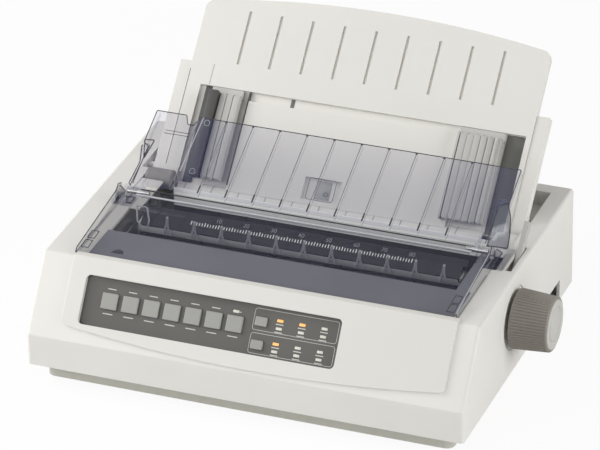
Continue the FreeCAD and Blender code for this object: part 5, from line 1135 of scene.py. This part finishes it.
@dataclass
class FlapTrim:
    """Rib lines, stop marks, flanks and edges of the tinted rear flap.

    The rib lines and the edges are dark painted shade, the right flank is darkened to paint shade,
    and the fold line is a pale painted highlight.

    Lines and shoulders lie on the flap's plane. A flank is its side, its finish and the rows of
    points, in x, y and z, along its inner and its outer edge.
    """

    first_rib: float = -114.3
    face: float = 1.85
    rib: Bar = Bar(0.3, 15.0, 80.7, 0.3, 0.05)
    foot_mark: Bar = Bar(0.6, 7.2, 15.2, 0.3, 0.12)
    top_mark: Bar = Bar(0.9, 79.4, 81.1, 0.6, 0.1, 0.2)
    lines: tuple[Line, ...] = (
        Line(((-147.0, 6.5, 1.65), (-147.0, 45.2, 1.65), (-151.9, 48.0, 1.65),
              (-151.9, 81.0, 1.65), (-125.9, 81.0, 1.65), (-121.9, 72.0, 1.65),
              (-116.9, 72.0, 1.65), (-112.9, 81.0, 1.65), (161.9, 81.0, 1.65),
              (161.9, 48.0, 1.65), (154.5, 44.0, 1.65), (154.5, 6.5, 1.65)), 0.4, 1.0),
        Line(((-138.5, 60.0, 1.95), (-117.0, 60.0, 1.95)), 0.25),
        Line(((-138.5, 63.0, 1.95), (-117.0, 63.0, 1.95)), 0.25))
    notch: Line = Line(((-152.0, 50.5, 1.65), (-143.3, 51.0, 2.65), (-146.0, 31.0, 2.65),
                        (-152.0, 50.5, 1.65)), 0.5)
    # A pale wire of painted highlight along the flap's fold.
    fold: Line = Line(((-111.0, 81.0, 1.85), (-112.3, 25.3, 1.85)), 0.45)
    shoulders: tuple[Spots, ...] = (
        ((-147.0, 7.0), (-137.7, 7.0), (-137.7, 39.8), (-147.0, 45.0)),
        ((147.7, 7.0), (154.5, 7.0), (154.5, 43.6), (147.7, 39.8)))
    shoulder_span: Spot = (-0.2, 1.8)
    shoulder_edge: float = 0.3
    # The right flank's finish paints shade; the left flank, of the same plastic, keeps the flap's
    # haze.
    flanks: tuple[tuple[str, Finish, Points, Points], ...] = (
        ("left", HAZE,
         ((-147.5, 176.0, 133.0), (-148.5, 165.0, 127.0), (-149.5, 152.0, 120.0),
          (-150.5, 140.0, 113.5)),
         ((-154.8, 177.0, 131.5), (-155.0, 171.5, 118.5), (-155.0, 160.0, 114.5),
          (-155.0, 148.0, 111.0))),
        ("right", FLANK_SHADE,
         ((152.0, 178.5, 135.0), (153.0, 166.0, 128.0), (154.0, 153.0, 120.5),
          (155.0, 141.0, 113.0)),
         ((160.0, 176.0, 135.0), (164.6, 169.5, 126.0), (165.2, 166.0, 113.0),
          (165.0, 161.5, 101.8))))
    flank_bulge: Point = (1.2, 1.5, 1.6)
    flank_thick: Point = (1.0, 0.8, 0.8)
    flank_inner_radius: float = 0.4
    flank_outer_radius: float = 0.45
    body: str = "rear_flap_body"

    def build(self) -> None:
        """Makes every piece of the trim."""
        places = self.first_rib + RIB_PITCH * np.arange(RIB_COUNT)
        ribs = [self.rib.on(FLAP, x, self.face) for x in places]
        mesh_piece("flap_rib_lines", ribs, SHADE_AND_SEAM_LINE, self.body)
        marks = [mark.on(FLAP, x, self.face)
                 for mark in (self.foot_mark, self.top_mark) for x in places]
        mesh_piece("flap_stop_marks", marks, BLACK, self.body)
        edges = [line.on(FLAP) for line in self.lines]
        for side, finish, inner, outer in self.flanks:
            mesh_piece(f"flap_flank_{side}", [self._flank(np.array(inner), np.array(outer))],
                       finish, self.body)
            edges += [Line(inner, self.flank_inner_radius).on(),
                      Line((*outer, inner[-1]), self.flank_outer_radius).on()]
        pads = [pillow(loop, *self.shoulder_span, self.shoulder_edge).laid_on(FLAP)
                for loop in self.shoulders]
        mesh_piece("flap_shoulders", pads, HAZE, self.body)
        mesh_piece("flap_edges", [*edges, self.notch.on(FLAP)], PAINTED_EDGE_SHADE, self.body)
        mesh_piece("flap_fold_highlight", [self.fold.on(FLAP)], PAINTED_EDGE_HIGHLIGHT, self.body)

    def _flank(self, inner: Array, outer: Array) -> Surface:
        """Makes one bulged web that closes the flap's side.

        Formula: rings of six points run through both edges, bulged halfway between them and
        repeated below by the thickness; both ends are drawn in to their middles.

        Args:
            inner: (n, 3) points of the edge on the flap.
            outer: (n, 3) points of the free edge.

        Returns:
            The closed web.
        """
        upper = np.stack([inner, (inner + outer) / 2 + self.flank_bulge, outer])
        rings = np.concatenate([upper, upper[::-1] - self.flank_thick]).transpose(1, 0, 2)
        caps = [np.broadcast_to(ring.mean(axis=0), (1, *ring.shape)) for ring in rings[[0, -1]]]
        rings = np.concatenate([caps[0], rings, caps[1]])
        return Surface(rings.reshape(-1, 3), grid_faces(*rings.shape[:2]))


@dataclass
class PaperLip:
    """The white rounded lip that hands the paper to the separator, with fine lines of painted rib
    shade.
    """

    left: float = -131.0
    right: float = 133.0
    edge: float = 0.3
    outer: Arc = Arc((195.5, 85.5), (7.3, 8.2), 75.0, 185.0, 14)
    inner: Arc = Arc((195.7, 85.3), (5.3, 6.2), 185.0, 75.0, 14)
    foot: tuple[Spot, Spot] = ((188.2, 76.0), (190.2, 76.0))
    first_line: float = -125.6
    line: Arc = Arc((195.5, 85.5), (7.35, 8.25), 80.0, 178.0, 12)
    line_bow: float = 2.4
    line_radius: float = 0.22
    body: str = "case_body"

    def build(self) -> None:
        """Makes the lip and its lines."""
        outline = np.concatenate([self.outer.points(), self.foot, self.inner.points()])
        mesh_piece("paper_lip", [beam(outline, self.left, self.right, self.edge)],
                   SEPARATOR_SHELL, self.body)
        bow = self.line_bow * np.cos(np.linspace(0, np.pi / 2, self.line.steps))
        line = tube(np.column_stack([bow, self.line.points()]), self.line_radius, FINE_SIDES)
        lines = [line.shifted(self.first_line + RIB_PITCH * index, 0.0, 0.0)
                 for index in range(RIB_COUNT)]
        mesh_piece("paper_lip_lines", lines, SHADE_AND_SEAM_LINE, self.body)


@dataclass
class GuideTrim:
    """The grooved faces of the two sheet guides, and the dark floors beside and behind them,
    which are painted shade.

    All of it is across, up and out on the separator's plane. The slats of a side are the first
    one's lowest place across and how many there are.
    """

    low: float = -7.5
    high: float = 65.0
    floor: float = 7.6
    face: float = 12.2
    slats: tuple[tuple[str, float, int], ...] = (("left", -111.3, 3), ("right", 97.6, 6))
    slat_wide: float = 5.2
    slat_pitch: float = 5.8
    slat_edge: float = 0.7
    # A dark block of painted shade that rides with the left guide in its channel.
    channel: Block = Block((-120.6, -8.3, 7.6), (-112.2, 66.3, 16.5), 0.6)
    rings: tuple[Arc, ...] = (full_circle((-116.9, -5.4), 2.4), full_circle((-115.0, 37.0), 2.4))
    ring_level: float = 16.5
    ring_radius: float = 0.25
    # Blocks of painted shade in the recess left of the left guide and in the gap beside the centre
    # panel.
    recess_shades: tuple[Block, ...] = (Block((-128.0, -13.5, 2.9), (-120.4, 71.8, 4.5), 0.12),
                                Block((-89.3, -9.5, 2.9), (-88.1, 71.5, 6.1), 0.1))
    # Dark floors of painted shade in the recesses.
    shade_floors: tuple[Block, ...] = (Block((133.8, -13.5, 2.9), (149.6, 71.6, 3.2), 0.12),
                                  Block((-53.0, 64.4, 2.9), (-49.8, 71.8, 3.2), 0.12))
    # A grey plate of painted shade on the grip's floor.
    grip_painted_shade: Block = Block((-14.0, -8.2, 3.4), (-0.8, 7.6, 3.7), 0.12)
    grip_rim: Point = (23.4, 18.4, 2.5)
    grip_middle: Spot = (-8.5, -0.4)
    grip_level: float = 6.0
    stud: Arc = full_circle((-4.5, -3.0), 1.7)
    stud_level: float = 3.8
    grip_line_radius: float = 0.3
    seams: tuple[Block, ...] = (Block((-125.7, 73.0, 5.8), (-125.3, 90.5, 6.06), 0.05),
                                Block((-145.3, 0.0, 5.8), (-144.7, 84.0, 6.1), 0.05))

    def build(self) -> None:
        """Makes the slats, and the channel and shaded floors that paint shade on the separator."""
        for side, first, count in self.slats:
            slats = [Block((x, self.low, self.floor), (x + self.slat_wide, self.high, self.face),
                           self.slat_edge) for x in first + self.slat_pitch * np.arange(count)]
            self._blocks(f"guide_slats_{side}", slats, GREY, f"{side}_guide_body")
        self._blocks("guide_channel_shade", [self.channel], PAINTED_DEEP_SHADE, "left_guide_body")
        rings = [drawn(SEPARATOR, ring.points(), self.ring_level, self.ring_radius)
                 for ring in self.rings]
        mesh_piece("guide_rings", rings, GREY, "left_guide_body")
        self._blocks("left_recess_shades", self.recess_shades, PAINTED_DEEP_SHADE)
        self._blocks("separator_shade_floors", self.shade_floors, FLOOR_SHADE)
        self._blocks("grip_painted_shade", [self.grip_painted_shade], GRIP_SHADE)
        rim = rounded_loop(*self.grip_rim) + self.grip_middle
        lines = [drawn(SEPARATOR, path, out, self.grip_line_radius) for path, out in (
            (np.concatenate([rim, rim[:2]]), self.grip_level),
            (self.stud.points(), self.stud_level))]
        lines += [seam.on(SEPARATOR) for seam in self.seams]
        mesh_piece("separator_lines", lines, SHADE_AND_SEAM_LINE, "separator_body")

    def _blocks(self, name: str, blocks: Iterable[Block], finish: Finish,
                body: str = "separator_body") -> None:
        """Makes one named piece of blocks on the separator's plane.

        Args:
            name: object name.
            blocks: its blocks, across, up and out.
            finish: surface finish.
            body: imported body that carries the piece.
        """
        mesh_piece(name, [block.on(SEPARATOR) for block in blocks], finish, body)


@dataclass
class BayTrim:
    """What shows in and round the bay: plates, shelves, the ledge's sheet and a feed roller.

    A black sheet paints the shade deep in the bay, and a glowing lip paints light above it.

    The ledge's sheet rises along a line that is given by two pairs of y and z.
    """

    plates: tuple[tuple[str, Finish, tuple[Block, ...]], ...] = (
        ("bay_front_strip", STRIP, (Block((-140.5, 96.5, 85.6), (150.5, 104.5, 86.6), 0.3),)),
        ("bay_shelves", SHELL, (Block((-156.7, 127.2, 98.9), (-137.5, 178.0, 100.4), 0.3),
                                Block((147.5, 150.0, 98.9), (166.7, 188.0, 100.4), 0.3),
                                Block((-163.4, 224.0, 87.0), (-148.0, 261.9, 89.0), 0.3),
                                Block((148.0, 224.0, 87.0), (168.4, 261.9, 89.0), 0.3))),
        # The black rear sheet is painted shade: it stands for the dark deep in the bay, below the
        # lip.
        ("bay_rear_painted_shadow", BLACK, (Block((-131.0, 184.0, 48.0), (146.0, 184.8, 76.6), 0.2),)),
        # The rear lip glows with painted light.
        ("bay_rear_lip", LIP_PAINTED_LIGHT, (Block((-131.0, 184.0, 76.7), (146.0, 184.8, 93.0), 0.2),)))
    ledge: tuple[Spots, ...] = (
        ((-147.5, 47.2), (159.8, 47.2), (159.8, 86.9), (-147.5, 86.9)),
        ((147.5, 86.9), (157.0, 86.9), (155.5, 149.5), (147.5, 149.5)))
    ledge_rise: tuple[Spot, Spot] = ((39.6, 99.5), (276.0, 102.2))
    ledge_thick: float = 0.35
    ledge_edge: float = 0.1
    # The notch is filled with a dark pad of painted shade.
    notch: Arc = Arc((-126.0, 52.5), (5.2, 7.0), 0.0, 180.0, 14)
    notch_span: Spot = (99.7, 100.15)
    roller: Spots = (
        (-155.5, 0.01), (-155.5, 7.2), (-154.5, 8.2), (-133.5, 8.2), (-132.5, 7.2),
        (-132.5, 0.01))
    axle: Spots = ((-163.3, 0.01), (-163.3, 2.0), (-131.5, 2.0), (-131.5, 0.01))
    roller_axis: Spot = (188.0, 97.0)
    roller_around: int = 40
    axle_around: int = 16
    body: str = "case_body"

    def build(self) -> None:
        """Makes every piece of the bay."""
        for name, finish, blocks in self.plates:
            mesh_piece(name, [block.on() for block in blocks], finish, self.body)
        sheets = [pillow(loop, 0.0, self.ledge_thick, self.ledge_edge) for loop in self.ledge]
        (low_y, low_z), (high_y, high_z) = self.ledge_rise
        for sheet in sheets:
            sheet.points[:, 2] += low_z + (sheet.points[:, 1] - low_y) * (
                high_z - low_z) / (high_y - low_y)
        mesh_piece("ledge_sheet", sheets, LEDGE, self.body)
        notch = pillow(self.notch.points(), *self.notch_span, self.ledge_edge)
        mesh_piece("ledge_notch", [notch], PAINTED_DEEP_SHADE, self.body)
        turned = [lathe(profile, self.roller_axis, steps) for profile, steps in (
            (self.roller, self.roller_around), (self.axle, self.axle_around))]
        mesh_piece("feed_roller", turned, FELT, self.body)


def main() -> None:
    """Builds the picture: the studio, the camera, and each part of the printer."""
    logging.basicConfig(level=logging.INFO, format="%(name)s: %(message)s")
    for builder in (Viewpoint(), Studio(), CadDress(), PlatenKnob(), ControlPanel(), ColumnScale(),
                    CoverTrim(), FlapTrim(), PaperLip(), GuideTrim(), BayTrim()):
        builder.build()
        LOG.info("%s done", type(builder).__name__)


if __name__ == "__main__":
    main()
